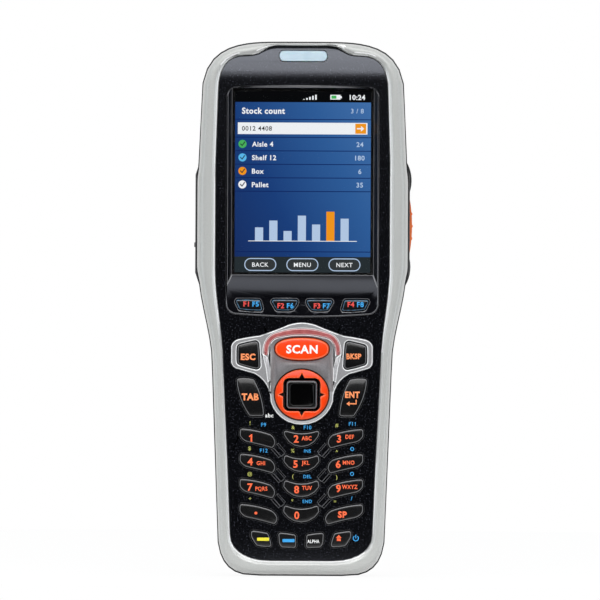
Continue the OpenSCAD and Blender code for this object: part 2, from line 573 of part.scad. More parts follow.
module display_surround() color("#0c0c0e") difference() {
    union() {
        slab(surround_y, panel_back) surround_shape();
        slab(panel_back, panel_back + 0.5) difference() {
            offset(delta = 1) surround_shape();
            offset(delta = -0.7) surround_shape();
        }
        slab(panel_back, rim_back) rect([-screen_w / 2 - 3.6, screen_w / 2 + 3.6], [screen_z - 3.4, screen_top + 3]);
    }
    // Sloping walls down to the glass
    hull() {
        slab(surround_y - 0.2, surround_y) rect([-screen_w / 2 - bezel_side + 0.25, screen_w / 2 + bezel_side - 0.25],
            [screen_z - 4.4, screen_top + 1.2]);
        slab(glass_y - 0.6, glass_y - 0.4) rect([-screen_w / 2 - 0.9, screen_w / 2 + 0.9], [screen_z - 0.7, screen_top + 0.8]);
    }
    slab(glass_y - 0.7, glass_y + 1) rect([-screen_w / 2 - 0.9, screen_w / 2 + 0.9], [screen_z - 0.7, screen_top + 0.8]);
    slab(glass_y - 0.25, rim_back + 1) rect([-screen_w / 2 - 2.3, screen_w / 2 + 2.3], [screen_z - 2.3, screen_top + 1.8]);
    slab(surround_y - 1, panel_back + 1) offset(delta = key_gap) for (k = f_keys) shape(outline_of(k), 0.6);
}
module display_gasket() color("#303034") slab(glass_y - 0.25, glass_y) difference() {
    rect([-screen_w / 2 - 2, screen_w / 2 + 2], [screen_z - 2, screen_top + 1.5]);
    rect([-screen_w / 2 - 0.9, screen_w / 2 + 0.9], [screen_z - 0.9, screen_top + 0.9]);
}
module touch_panel() color("#20242a", 0.6) slab(glass_y, glass_y + glass_t)
    rect([-screen_w / 2 - 2.2, screen_w / 2 + 2.2], [screen_z - 2.2, screen_top + 1.7]);
module display_module() color("#3c4a5c") slab(lcd_y, lcd_y + lcd_t) difference() {
    rounded(0.6) rect([-screen_w / 2 - 2.2, screen_w / 2 + 2.2], [screen_z - 2.2, screen_top + 1.7]);
    translate([0, screen_z - 2.2]) square([14, 1.2], center = true);
}
module led_lens() color("#bcd4e6") {
    slab(panel_y + 0.45, panel_back) offset(delta = -0.25) lamp_shape();
    // Flange behind the panel, short of the frame's ledge
    slab(panel_back, panel_back + 0.7) intersection() {
        offset(delta = 0.6) lamp_shape();
        rect([-10, 10], [0, tab_z - ledge_w - 0.2]);
    }
}
module key_plate() color("#a9acae") difference() {
    union() {
        slab(plate_y, plate_y + plate_t) plate_shape();
        plate_fins();
    }
    slab(plate_y - 1, plate_y + plate_t + 1) offset(delta = key_gap) plate_openings();
    slab(plate_y - 1, plate_y + plate_t + 1) guide_shape();
    // Lower field between the light guide and the ring
    slab(plate_y - 1, plate_y + 0.25) intersection() {
        union() {
            polygon(bowed_half(guide_inner()));
            rect([-10.9, 10.9], [nav_z, scan_z - 2.9]);
        }
        rect([-10.2, 10.2], [nav_z + 1, scan_z + 9]);
    }
}
// Fins that run down from the ends of the light guide
module plate_fins() slab(plate_y - 0.3, plate_y + 0.3) both_sides_flat() polygon([[10.25, nav_z + 4.6],
    [10.6, nav_z + 4.4], [11.2, nav_z + 8.5], [12.15, scan_z - 2.1], [10.95, scan_z - 3.05], [10.3, nav_z + 9]]);
module scan_light_guide() color("#b8343a") slab(plate_y - 0.1, panel_back + 0.15) offset(delta = -0.06) guide_shape();

// ---------- Keys ----------

module key_of(name, r = 0.8) key(outline_of(name), r);
module key_escape() key_of("escape", 1);
module key_backspace() key_of("backspace", 1);
module key_tab() key_of("tab");
module key_enter() key_of("enter");
module key_f1() key_of("f1", 0.6);
module key_f2() key_of("f2", 0.6);
module key_f3() key_of("f3", 0.6);
module key_f4() key_of("f4", 0.6);
module key_yellow() key_of("yellow");
module key_blue() key_of("blue");
module key_alpha() key_of("alpha");
module key_power() key_of("power");
module key_dot() key(number_path(-1, 0));
module key_0() key(number_path(0, 0));
module key_space() key(number_path(1, 0));
module key_7() key(number_path(-1, 1));
module key_8() key(number_path(0, 1));
module key_9() key(number_path(1, 1));
module key_4() key(number_path(-1, 2));
module key_5() key(number_path(0, 2));
module key_6() key(number_path(1, 2));
module key_1() key(number_path(-1, 3));
module key_2() key(number_path(0, 3));
module key_3() key(number_path(1, 3));
module key_scan() color("#e8501e") {
    intersection() {
        slab(key_y - 0.6, skirt_y + 0.1) scan_shape();
        translate([0, key_y - 0.6 + 40, scan_z]) sphere(r = 40, $fn = 180);
    }
    slab(skirt_y, skirt_back) offset(delta = skirt_w) scan_shape();
    bar_y(0, scan_z, skirt_back - 0.1, stem_y, stem_r);
}
nav_gap = 0.45;
nav_y = panel_back + nav_gap;
module nav_carrier() color("#2a2a2c") {
    slab(nav_y, nav_y + 0.7) difference() {
        offset(delta = skirt_w) ring_shape();
        offset(delta = skirt_w + 0.4) centre_shape();
    }
    for (s = nav_stems) bar_y(s.x, s.y + nav_z, nav_y + 0.6, stem_y, stem_r);
}
module nav_ring() color("#e8501e") difference() {
    intersection() {
        slab(key_y - 0.4, nav_y - nav_gap) ring_shape();
        translate([0, key_y - 0.4 + 36, nav_z]) sphere(r = 36, $fn = 180);
    }
    slab(key_y - 2, nav_y) ring_hole();
}
module nav_centre_key() color("#111114") difference() {
    union() {
        slab(key_y + 0.1, skirt_y + 0.1) centre_shape();
        slab(skirt_y, skirt_back) offset(delta = skirt_w) centre_shape();
        bar_y(0, nav_z, skirt_back - 0.1, stem_y, stem_r);
    }
    hull() {
        slab(key_y - 1, key_y + 0.12) translate([0, nav_z]) rounded(1.2) square([8.3, 7.6], center = true);
        slab(key_y + 0.6, key_y + 0.7) translate([0, nav_z]) rounded(0.8) square([7.3, 6.6], center = true);
    }
}

// ---------- Keypad stack ----------

module inner_outline(t) difference() {
    intersection() {
        polygon(panel_outline(t));
        rect([-40, 40], [0, f_z + 4.2]);
    }
    for (p = concat(pillars, keypad_bosses)) both_sides_flat() translate(p) circle(r = pillar_r + 0.3);
}
module keypad_membrane() color("#8a8f94") slab(membrane_y, membrane_y + membrane_t) difference() {
    inner_outline(2.3);
    for (p = stem_places) translate(p) circle(r = stem_r + 0.3);
}
module keypad_domes() color("#c8ccd0") for (p = stem_places)
    translate([p.x, keyboard_y, p.y]) rotate([90, 0, 0]) cylinder(r1 = 1.8, r2 = 1.1, h = dome_h);
module keypad_board() color("#1f5a3a") slab(keyboard_y, keyboard_y + board_t) difference() {
    intersection() {
        polygon(case_outline(frame_reveal + wall + 0.4, frame_end_reveal + wall + 0.4));
        rect([-40, 40], [0, f_z + 4.2]);
    }
    both_sides_flat() translate(pillars[0]) circle(r = rear_pillar_r + 0.3);
    for (p = keypad_bosses) both_sides_flat() translate(p) circle(r = pilot_r + 0.1);
}
module main_board() color("#1f5a3a") slab(main_y, main_y + board_t) difference() {
    rounded(1.5) rect([-case_w[2] + 3, case_w[2] - 3], [screen_z - 2, crown_z - 4.5]);
    for (p = main_bosses) both_sides_flat() translate(p) circle(r = pilot_r + 0.1);
    // Room for the trigger's flange
    rect([side_wall_x - 3.2, case_w[2]], [trigger_z - trigger_len / 2 - 1.5, trigger_z + trigger_len / 2 + 1.5]);
}
module small_screw(x, z, seat, depth) {
    bar_y(x, z, seat, seat + 0.8, 1.1);
    bar_y(x, z, seat - depth, seat + 0.1, pilot_r);
}
module board_screws() color("silver") {
    for (p = keypad_bosses) both_sides() small_screw(p.x, p.y, keyboard_y + board_t, 2.6);
    for (p = main_bosses) both_sides() small_screw(p.x, p.y, main_y + board_t, 3.4);
}
module housing_screws() color("silver") for (p = pillars) both_sides() difference() {
    union() {
        bar_y(p.x, p.y, screw_seat, screw_seat + 1.4, screw_head_r);
        bar_y(p.x, p.y, ledge_back + 0.2, screw_seat + 0.1, screw_r);
    }
    for (a = [0, 90]) translate([p.x, screw_seat + 1.3, p.y]) rotate([0, a, 0])
        cube([2.2, 1.2, 0.5], center = true);
}

// ---------- Battery ----------

latch_z = door_top - 6.8;
module battery_door() color("#1b1b1d") difference() {
    union() {
        slab(door_y, grip_back) rounded(1.2)
            rect([-door_half, door_half], [wing_z, door_top]);
        slab(door_y, grip_back - 0.1) rect([-bay_half + door_gap, bay_half - door_gap], [hinge_z, wing_z + 2]);
        bar_x(hinge_y, hinge_z, -bay_half + door_gap, bay_half - door_gap, knuckle_r);
    }
    bar_x(hinge_y, hinge_z, -bay_half, bay_half, door_pin_r + pin_gap);
    // Finger recess, latch slot and grip grooves
    slab(grip_back - 0.7, grip_back + 1) rounded(0.8) rect([-7, 7], [latch_z - 3.8, latch_z + 5.4]);
    slab(door_y - 1, grip_back + 1) rect([-2.3, 2.3], [latch_z - 2.5, latch_z + 2.2 + latch_travel]);
    for (i = [0:3]) slab(grip_back - 0.5, grip_back + 1) translate([0, hinge_z + 14 + 4 * i])
        rounded(0.5) square([16, 1.2], center = true);
}
module battery_door_pin() color("silver") bar_x(hinge_y, hinge_z, -door_half + 0.3, door_half - 0.3, door_pin_r);
module battery_latch() color("#d9581f") {
    difference() {
        slab(grip_back - 0.55, grip_back + 0.25) rounded(0.6) rect([-5.5, 5.5], [latch_z - 3.3, latch_z + 2.2]);
        for (i = [-1:1]) slab(grip_back - 0.1, grip_back + 1) translate([0, latch_z - 0.5 + 1.5 * i])
            square([9, 0.6], center = true);
    }
    slab(door_y - 0.3, grip_back - 0.4) rect([-2, 2], [latch_z - 2.2, latch_z + 2]);
    slab(door_y - 1.15, door_y - 0.15) rounded(0.6) rect([-5, 5], [latch_z - 3.3, door_top - 0.3]);
}
module battery_pack() color("#3a3d42") translate([0, bay_y + 0.2, bay_z[0] + 0.7]) rotate([90, 0, 0]) mirror([0, 0, 1])
    linear_extrude(battery.y) rounded(1.5) translate([-battery.x / 2, 0]) square([battery.x, battery.z]);
module battery_contacts() color("gold") for (x = contact_x)
    block([x - contact_w / 2, x + contact_w / 2], [bay_y - 3.4, bay_y + 0.2], contact_z);

// ---------- Scanner, trigger and sockets ----------

module scan_engine() color("#5a5f66") difference() {
    block([-engine.x / 2, engine.x / 2], [window_y[0], window_y[0] + engine.y], [case_len - 3.6 - engine.z, case_len - 3.6]);
    block([-7.5, 7.5], [window_y[0] + 2, window_y[0] + 8], [case_len - 6.5, case_len]);
    translate([7.2, window_y[0] + 10, case_len - 8]) cylinder(r = 1, h = 6);
}
module scan_window() color("#5a1015", 0.7) {
    slab_top(case_len - 2.9, case_len - 1.5) rounded(1) square([window.x + 1.4, window.y + 1.4], center = true);
    slab_top(case_len - 2.9, case_len - 1) rounded(1.2) square([window.x - 0.3, window.y - 0.3], center = true);
}
trigger_top = pad_x + trigger_rise;
module side_trigger() color("#e8501e") {
    intersection() {
        slab_side() rounded(1.2) square([trigger_w, trigger_len], center = true);
        union() {
            translate([trigger_top - trigger_crown_r, side_mid_y, trigger_z]) rotate([90, 0, 0])
                cylinder(r = trigger_crown_r, h = 30, center = true, $fn = 180);
            for (z = trigger_ribs) translate([trigger_top - 0.4 - z * z / (2 * trigger_crown_r), side_mid_y, trigger_z + z])
                rotate([90, 0, 0]) cylinder(r = 0.65, h = trigger_w - 1.6, center = true);
        }
        block([case_w[2] - 1.2, 60], [-20, 20], [0, 400]);
    }
    // Flange behind the wall, and the neck between
    block([side_wall_x - 1.1, side_wall_x - 0.2],
        [side_mid_y - trigger_w / 2 - 0.8, side_mid_y + trigger_w / 2 + 0.8],
        [trigger_z - trigger_len / 2 - 0.8, trigger_z + trigger_len / 2 + 0.8]);
    block([side_wall_x - 0.3, case_w[2] - 1.1], [side_mid_y - trigger_w / 2 + 1, side_mid_y + trigger_w / 2 - 1],
        [trigger_z - trigger_len / 2 + 1, trigger_z + trigger_len / 2 - 1]);
}
module trigger_switch() color("#d8d2c0") {
    plunger_x = side_wall_x - 1.1 - trigger_travel - 0.1;
    block([plunger_x - 3.6, plunger_x - 0.8], [main_y + board_t, main_y + board_t + 3.4], [trigger_z - 2.5, trigger_z + 2.5]);
    bar_x(main_y + board_t + 1.8, trigger_z, plunger_x - 0.9, plunger_x, 0.8);
}
module port_door() color("#1b1b1d") difference() {
    y = [side_mid_y - port_w / 2, side_mid_y + port_w / 2];
    union() {
        block([-pad_x, -pad_x + port_t], y, [port_z[0], port_pin_z]);
        bar_y(port_pin_x, port_pin_z, y[0], y[1], port_knuckle_r);
        block([-pad_x - 0.35, -pad_x + 0.3], [side_mid_y - 2, side_mid_y + 2], [port_z[0] + 0.5, port_z[0] + 2]);
    }
    bar_y(port_pin_x, port_pin_z, y[0] - 1, y[1] + 1, port_pin_r + pin_gap);
}
module port_door_pin() color("silver") bar_y(port_pin_x, port_pin_z, side_mid_y - port_w / 2 - 1.4,
    side_mid_y + port_w / 2 + 1.4, port_pin_r);
module usb_socket() color("silver") difference() {
    block([-case_w[2] + wall + 1.2, -case_w[2] + wall + 1.2 + usb.z], [main_y + board_t, main_y + board_t + usb.x],
        [pad_mid - 1 - usb.y / 2, pad_mid - 1 + usb.y / 2]);
    block([-case_w[2], -case_w[2] + wall + 1.2 + usb.z - 1.5], [main_y + board_t + 0.5, main_y + board_t + usb.x - 0.5],
        [pad_mid - 1 - usb.y / 2 + 0.5, pad_mid - 1 + usb.y / 2 - 0.5]);
}
module io_connector() color("#2b2d30") difference() {
    union() {
        block([-9, 9], [io_y[0] + 0.2, io_y[1] - 0.2], [1, 7]);
        block([-10.5, 10.5], [io_y[0] - 1, io_y[1] + 1], [wall + 0.4, wall + 1.9]);
    }
    block([-7.5, 7.5], [io_y[0] + 0.9, io_y[1] - 0.9], [0, 4.5]);
}
module speaker() color("#26282b") {
    bar_y(0, speaker_z, head_back - wall - 3.2, head_back - wall - 0.3, 7.5);
    bar_y(0, speaker_z, head_back - wall - 4.2, head_back - wall - 3.1, 4);
}
module antenna() color("#c9a227")
    block([9 - case_w[2], 21 - case_w[2]], [main_y + board_t, main_y + board_t + 1.6], [crown_z - 8.5, crown_z - 5.5]);

back_housing();
front_frame();
front_panel();
display_surround();
touch_panel();
display_gasket();
display_module();
led_lens();
key_plate();
scan_light_guide();
key_scan();
nav_carrier();
nav_ring();
nav_centre_key();
key_escape();
key_backspace();
key_tab();
key_enter();
key_f1();
key_f2();
key_f3();
key_f4();
key_0();
key_1();
key_2();
key_3();
key_4();
key_5();
key_6();
key_7();
key_8();
key_9();
key_dot();
key_space();
key_yellow();
key_blue();
key_alpha();
key_power();
keypad_membrane();
keypad_domes();
keypad_board();
main_board();
board_screws();
housing_screws();
battery_door();
battery_door_pin();
battery_latch();
battery_pack();
battery_contacts();
scan_engine();
scan_window();
side_trigger();
trigger_switch();
port_door();
port_door_pin();
usb_socket();
io_connector();
speaker();
antenna();
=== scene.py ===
"""Handheld data terminal: a moulded grip that flares into a display head, with a keypad and a side trigger.

Metres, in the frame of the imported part: +X is right, -Y faces the user and +Z runs from foot to head.
"""
import json
import math

import bmesh
import bpy
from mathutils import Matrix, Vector
from mathutils.bvhtree import BVHTree


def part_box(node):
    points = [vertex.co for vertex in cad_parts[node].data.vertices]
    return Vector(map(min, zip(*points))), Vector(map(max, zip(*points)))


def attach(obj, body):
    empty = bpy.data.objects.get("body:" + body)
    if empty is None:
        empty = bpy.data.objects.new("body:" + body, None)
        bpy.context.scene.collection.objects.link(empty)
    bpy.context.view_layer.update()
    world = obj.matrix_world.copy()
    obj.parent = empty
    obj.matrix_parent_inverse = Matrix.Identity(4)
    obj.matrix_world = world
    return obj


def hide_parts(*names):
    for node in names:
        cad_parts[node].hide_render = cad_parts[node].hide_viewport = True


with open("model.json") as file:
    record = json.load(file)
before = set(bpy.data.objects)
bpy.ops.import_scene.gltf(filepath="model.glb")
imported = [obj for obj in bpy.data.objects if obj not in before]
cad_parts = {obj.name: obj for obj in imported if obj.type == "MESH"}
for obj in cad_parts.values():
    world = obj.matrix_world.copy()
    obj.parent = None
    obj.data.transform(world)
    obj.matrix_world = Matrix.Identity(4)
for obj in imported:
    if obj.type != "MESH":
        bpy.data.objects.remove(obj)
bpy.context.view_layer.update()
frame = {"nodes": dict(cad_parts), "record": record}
nodes = frame["nodes"]
MM = 0.001

# ---- Rear housing ----
# The black shell behind the joint line, moulded in glass-filled nylon with a fine spark-eroded texture.
# Four screws from the back hold it to the front frame.

# Points nearer to each other than this are one point
weld_gap = 0.002 * MM
# Faces that meet at less than this lie in one plane
plane_turn = math.radians(0.6)
# An edge that turns by more than this is sharp, and may be rounded
sharp_turn = math.radians(38)
# Most of a noise lies between these levels
noise_low, noise_high = 0.3, 0.7
# How far large faces lead the shading at an edge: at 50 all count by their area
large_face_share = 60
# Depth of the bumps that a mould or a spray coat leaves, at full share
grain_height = 0.02 * MM


def new_finish(name, colour, roughness, **sockets):
    """Moulded or painted finish: a colour, a roughness and any other sockets of the shader."""
    finish = bpy.data.materials.new(name)
    finish.use_nodes = True
    shader = finish.node_tree.nodes["Principled BSDF"]
    shader.inputs["Base Color"].default_value = (*colour, 1)
    shader.inputs["Roughness"].default_value = roughness
    for socket, value in sockets.items():
        shader.inputs[socket.replace("_", " ")].default_value = value
    return finish


def new_noise(tree, patch, detail):
    """Noise that is fixed to the piece, with patches of the given size in metres."""
    noise = tree.nodes.new("ShaderNodeTexNoise")
    noise.inputs["Scale"].default_value = 1 / patch
    noise.inputs["Detail"].default_value = detail
    place = tree.nodes.new("ShaderNodeTexCoord")
    tree.links.new(place.outputs["Object"], noise.inputs["Vector"])
    return noise.outputs["Fac"]


def add_grain(finish, grain, share):
    """Texture of the mould or the paint: fine bumps, grain metres wide, at a share of their full height."""
    tree = finish.node_tree
    bump = tree.nodes.new("ShaderNodeBump")
    bump.inputs["Strength"].default_value = share
    bump.inputs["Distance"].default_value = grain_height
    tree.links.new(new_noise(tree, grain, 3), bump.inputs["Height"])
    tree.links.new(bump.outputs["Normal"], tree.nodes["Principled BSDF"].inputs["Normal"])


def add_mottle(finish, light, dark, patch, low=noise_low, high=noise_high):
    """Change of colour over the surface, from dark to light between the noise levels low and high."""
    tree = finish.node_tree
    ramp = tree.nodes.new("ShaderNodeValToRGB")
    ramp.color_ramp.elements[0].position = low
    ramp.color_ramp.elements[1].position = high
    ramp.color_ramp.elements[0].color = (*dark, 1)
    ramp.color_ramp.elements[1].color = (*light, 1)
    tree.links.new(new_noise(tree, patch, 4), ramp.inputs["Fac"])
    tree.links.new(ramp.outputs["Color"], tree.nodes["Principled BSDF"].inputs["Base Color"])


def sharp_places(mesh):
    """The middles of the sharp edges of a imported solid."""
    solid = bmesh.new()
    solid.from_mesh(mesh)
    bmesh.ops.remove_doubles(solid, verts=solid.verts, dist=weld_gap)
    sharp = [e for e in solid.edges if e.is_manifold and e.calc_face_angle() > sharp_turn]
    places = {((e.verts[0].co + e.verts[1].co) / 2).freeze() for e in sharp}
    solid.free()
    return places


def dress(node, finish, edge=0.0, edge_highlight_finish=None, flat=False, chosen=None):
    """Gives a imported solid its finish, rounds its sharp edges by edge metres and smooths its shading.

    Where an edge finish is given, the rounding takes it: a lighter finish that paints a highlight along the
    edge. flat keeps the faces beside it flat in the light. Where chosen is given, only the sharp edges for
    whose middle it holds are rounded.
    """
    piece = nodes[node]
    piece.data.materials.clear()
    piece.data.materials.append(finish)
    piece.data.shade_smooth()
    if piece.data.attributes.get("custom_normal"):
        piece.data.attributes.remove(piece.data.attributes["custom_normal"])
    weld = piece.modifiers.new("weld", "WELD")
    weld.merge_threshold = weld_gap
    if not edge_highlight_finish:
        plane = piece.modifiers.new("plane", "DECIMATE")
        plane.decimate_type = "DISSOLVE"
        plane.angle_limit = plane_turn
    if edge:
        bevel = piece.modifiers.new("edge", "BEVEL")
        bevel.width = edge
        bevel.segments = 2
        bevel.limit_method = "ANGLE"
        bevel.angle_limit = sharp_turn
        if edge_highlight_finish:
            piece.data.materials.append(edge_highlight_finish)
            bevel.material = 1
            bevel.use_clamp_overlap = False
            bevel.harden_normals = flat
        if chosen:
            bevel.limit_method = "WEIGHT"
            weight = piece.data.attributes.new("bevel_weight_edge", "FLOAT", "EDGE")
            sharp = sharp_places(piece.data)
            for line in piece.data.edges:
                start, end = (piece.data.vertices[k].co for k in line.vertices)
                middle = ((start + end) / 2).freeze()
                weight.data[line.index].value = float(middle in sharp and chosen(middle))
    if not flat:
        shade = piece.modifiers.new("shade", "WEIGHTED_NORMAL")
        shade.weight = large_face_share
    return piece


shell_black = new_finish("shell_black", (0.011, 0.011, 0.0125), 0.5, Specular_IOR_Level=0.4)
add_mottle(shell_black, (0.014, 0.014, 0.016), (0.009, 0.009, 0.010), 2 * MM)
add_grain(shell_black, 0.35 * MM, 0.5)
dress("back_housing", shell_black, 0.25 * MM)

# ---- Front frame ----
# The silver band round the front, moulded and sprayed with a satin metallic paint. Its inner edge is a
# narrow chamfer, painted a lighter silver as a highlight, and it carries the panel on a ledge. Its rounded
# edges are painted near white as highlight lines.


def finish_faces(piece, finish, chosen):
    """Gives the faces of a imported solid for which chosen(face) holds a finish of their own."""
    piece.data.materials.append(finish)
    for face in piece.data.polygons:
        if chosen(face):
            face.material_index = len(piece.data.materials) - 1


frame_silver = new_finish("frame_silver", (0.475, 0.48, 0.465), 0.34, Metallic=0.12, Specular_IOR_Level=0.5,
                          Coat_Weight=0.2, Coat_Roughness=0.2)
add_mottle(frame_silver, (0.515, 0.52, 0.50), (0.435, 0.44, 0.425), 0.3 * MM)
add_grain(frame_silver, 0.22 * MM, 0.12)
# Near-white on the band's rounded edges: a painted highlight line
frame_edge_highlight = new_finish("frame_edge_highlight", (0.93, 0.93, 0.92), 0.2, Metallic=0.1, Coat_Weight=0.6,
                        Coat_Roughness=0.1)
add_mottle(frame_edge_highlight, (0.96, 0.96, 0.95), (0.88, 0.88, 0.87), 0.6 * MM)
# Lighter silver on the inner chamfer: a painted highlight
frame_chamfer_highlight = new_finish("frame_chamfer_highlight", (0.52, 0.525, 0.51), 0.26, Metallic=0.12, Coat_Weight=0.3)
add_mottle(frame_chamfer_highlight, (0.56, 0.565, 0.55), (0.48, 0.485, 0.47), 0.3 * MM)
band = dress("front_frame", frame_silver, 0.34 * MM, frame_edge_highlight, flat=True)
band_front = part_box("front_frame")[0].y
chamfer_depth = 0.66 * MM
# A face of the chamfer looks to the front by a share between these
chamfer_facing = (0.3, 0.97)
panel_low, panel_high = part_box("front_panel")


def on_chamfer(face):
    """The narrow chamfer between the band and the panel: close to the front and turned to the middle."""
    if face.center.y > band_front + chamfer_depth:
        return False
    if not chamfer_facing[0] <= -face.normal.y <= chamfer_facing[1]:
        return False
    axis_z = min(max(face.center.z, panel_low.z + panel_high.x), panel_high.z - panel_high.x)
    inward = Vector((-face.center.x, 0, axis_z - face.center.z))
    return face.normal.dot(inward) > 0


# The chamfer's faces take the lighter silver of the painted highlight
finish_faces(band, frame_chamfer_highlight, on_chamfer)

# ---- Front panel ----
# A black panel fills the frame on its ledge. It is moulded, and lacquered with a fine metallic fleck that
# shows on the curved brow above the display.


def add_wear(finish, change=0.1, patch=6 * MM):
    """Handling marks: the roughness drifts in patches, where fingers have polished the surface."""
    tree = finish.node_tree
    roughness = tree.nodes["Principled BSDF"].inputs["Roughness"]
    spread = tree.nodes.new("ShaderNodeMapRange")
    spread.inputs["From Min"].default_value = noise_low
    spread.inputs["From Max"].default_value = noise_high
    spread.inputs["To Min"].default_value = roughness.default_value - change / 2
    spread.inputs["To Max"].default_value = roughness.default_value + change / 2
    tree.links.new(new_noise(tree, patch, 6), spread.inputs["Value"])
    tree.links.new(spread.outputs["Result"], roughness)


panel_black = new_finish("panel_black", (0.0030, 0.0030, 0.0040), 0.135, Specular_IOR_Level=0.8,
                         Specular_Tint=(0.84, 0.88, 1, 1))
add_mottle(panel_black, (0.040, 0.042, 0.054), (0.0006, 0.0006, 0.0011), 0.5 * MM, 0.56, 0.72)
add_grain(panel_black, 0.5 * MM, 0.34)
# Grey on the panel's rounded edges, round its openings and ribs: a painted highlight
panel_rim_highlight = new_finish("panel_rim_highlight", (0.07, 0.07, 0.076), 0.25, Specular_IOR_Level=0.6)
add_wear(panel_rim_highlight)
dress("front_panel", panel_black, 0.1 * MM, panel_rim_highlight, flat=True)

# ---- Display surround and gasket ----
# A gloss black surround is set into the panel round the display. Its walls slope down to the glass, and its
# rounded rim is painted grey as a highlight. A foam gasket seals the glass behind it.

surround_gloss = new_finish("surround_gloss", (0.0015, 0.0015, 0.0026), 0.22, Specular_IOR_Level=0.30,
                            Specular_Tint=(0.84, 0.88, 1, 1))
add_wear(surround_gloss, 0.05)
# Grey on the surround's rounded rim: a painted highlight
surround_rim_highlight = new_finish("surround_rim_highlight", (0.15, 0.15, 0.16), 0.22, Specular_IOR_Level=0.7, Coat_Weight=0.5)
add_wear(surround_rim_highlight, 0.1, 3 * MM)
dress("display_surround", surround_gloss, 0.28 * MM, surround_rim_highlight)

gasket_foam = new_finish("gasket_foam", (0.02, 0.02, 0.02), 0.9)
add_mottle(gasket_foam, (0.026, 0.026, 0.026), (0.014, 0.014, 0.014), 0.8 * MM)
add_grain(gasket_foam, 0.3 * MM, 0.6)
dress("display_gasket", gasket_foam)

# ---- Indicator lens ----
# A frosted, pale blue light pipe over the charge and scan lamps, moulded in polycarbonate. It is pressed
# into a slot at the top of the panel.

lens_frost = new_finish("lens_frost", (0.66, 0.76, 0.82), 0.35, Subsurface_Weight=0.2, Coat_Weight=0.4)
add_mottle(lens_frost, (0.72, 0.81, 0.87), (0.60, 0.71, 0.78), 4 * MM)
add_grain(lens_frost, 0.2 * MM, 0.1)
dress("led_lens", lens_frost, 0.2 * MM)

# ---- Key plate and light guide ----
# The silver shield round the scan key and the navigation ring, sprayed like the frame, with a darker sunk
# field, and the red light guide that arches over the scan key and glows after a good read. The plate's
# rounded edges, the fronts of its fins and the guide's rounded edges are painted lighter as highlights.

plate_silver = new_finish("plate_silver", (0.30, 0.295, 0.30), 0.36, Metallic=0.2)
add_mottle(plate_silver, (0.335, 0.33, 0.335), (0.27, 0.265, 0.27), 0.4 * MM)
add_grain(plate_silver, 0.2 * MM, 0.15)
plate_field = new_finish("plate_field", (0.195, 0.18, 0.185), 0.42, Metallic=0.2)
add_mottle(plate_field, (0.22, 0.205, 0.21), (0.17, 0.158, 0.162), 0.4 * MM)
add_grain(plate_field, 0.2 * MM, 0.2)
# Near-white on the plate's rounded edges: a painted highlight line
plate_edge_highlight = new_finish("plate_edge_highlight", (0.90, 0.90, 0.90), 0.2, Metallic=0.1, Coat_Weight=0.5)
add_mottle(plate_edge_highlight, (0.95, 0.95, 0.95), (0.82, 0.82, 0.82), 1 * MM)
plate_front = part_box("key_plate")[0].y
# Behind the plate's foremost face, all of a fin's front lies within the first depth, and the sunk field
# beyond the second
fin_depth = 0.1 * MM
field_depth = 0.45 * MM
# A face that looks to the front by more than this share is a front
front_share = 0.9
# Round a key, the plate's own edges start at this share of the key's width and height from its middle
opening_reach = 0.56


def on_plate_edge(place):
    """An edge of the plate painted as a highlight: not on a fin, nor round the scan key or the navigation
    ring.
    """
    if place.y < plate_front + fin_depth:
        return False
    for key in ("key_scan", "nav_ring"):
        low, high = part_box(key)
        middle, size = (low + high) / 2, high - low
        if math.hypot((place.x - middle.x) / size.x, (place.z - middle.z) / size.z) < opening_reach:
            return False
    return True


plate = dress("key_plate", plate_silver, 0.32 * MM, plate_edge_highlight, flat=True, chosen=on_plate_edge)
finish_faces(plate, plate_field,
             lambda face: -face.normal.y > front_share and face.center.y > plate_front + field_depth)
# Lighter silver on the fronts of the fins: a painted highlight
fin_highlight = new_finish("fin_highlight", (0.42, 0.41, 0.42), 0.3, Metallic=0.1, Coat_Weight=0.3)
add_mottle(fin_highlight, (0.46, 0.45, 0.46), (0.37, 0.36, 0.37), 0.6 * MM)
finish_faces(plate, fin_highlight, lambda face: face.center.y < plate_front + fin_depth / 2)

guide_red = new_finish("guide_red", (0.48, 0.105, 0.10), 0.3, Coat_Weight=0.5, Subsurface_Weight=0.2)
add_mottle(guide_red, (0.56, 0.145, 0.14), (0.38, 0.070, 0.070), 2.2 * MM)
# Pale pink on the guide's rounded edges: a painted highlight
guide_edge_highlight = new_finish("guide_edge_highlight", (0.74, 0.46, 0.46), 0.25, Coat_Weight=0.5)
add_mottle(guide_edge_highlight, (0.80, 0.52, 0.52), (0.66, 0.38, 0.38), 1 * MM)
dress("scan_light_guide", guide_red, 0.22 * MM, guide_edge_highlight)

# ---- Keys ----
# Hard caps moulded in gloss black over a silicone membrane. Each has a crowned top and a rounded edge,
# painted lighter as a highlight and with handling marks in its roughness, stands through its own opening
# and has a hidden flange and a stem.

key_black = new_finish("key_black", (0.0048, 0.0048, 0.0052), 0.2, Specular_IOR_Level=0.5)
add_mottle(key_black, (0.0062, 0.0062, 0.0066), (0.0040, 0.0040, 0.0044), 3 * MM)
add_grain(key_black, 0.3 * MM, 0.05)
# Grey on the keys' rolled edges: a painted highlight, its roughness marked by handling
key_rim_highlight = new_finish("key_rim_highlight", (0.10, 0.10, 0.104), 0.2, Specular_IOR_Level=0.7)
add_wear(key_rim_highlight, 0.12, 3 * MM)
# Blue on the function keys' rolled edges: a painted highlight in blue
f_key_rim_highlight = new_finish("f_key_rim_highlight", (0.03, 0.09, 0.15), 0.2, Specular_IOR_Level=0.7)
add_mottle(f_key_rim_highlight, (0.05, 0.15, 0.25), (0.016, 0.022, 0.034), 0.9 * MM)
panel_back = panel_high.y
key_crown = 46 * MM
key_roll = 0.32 * MM
# A face of a key that looks to the front by more than this share is part of its top
top_share = 0.5
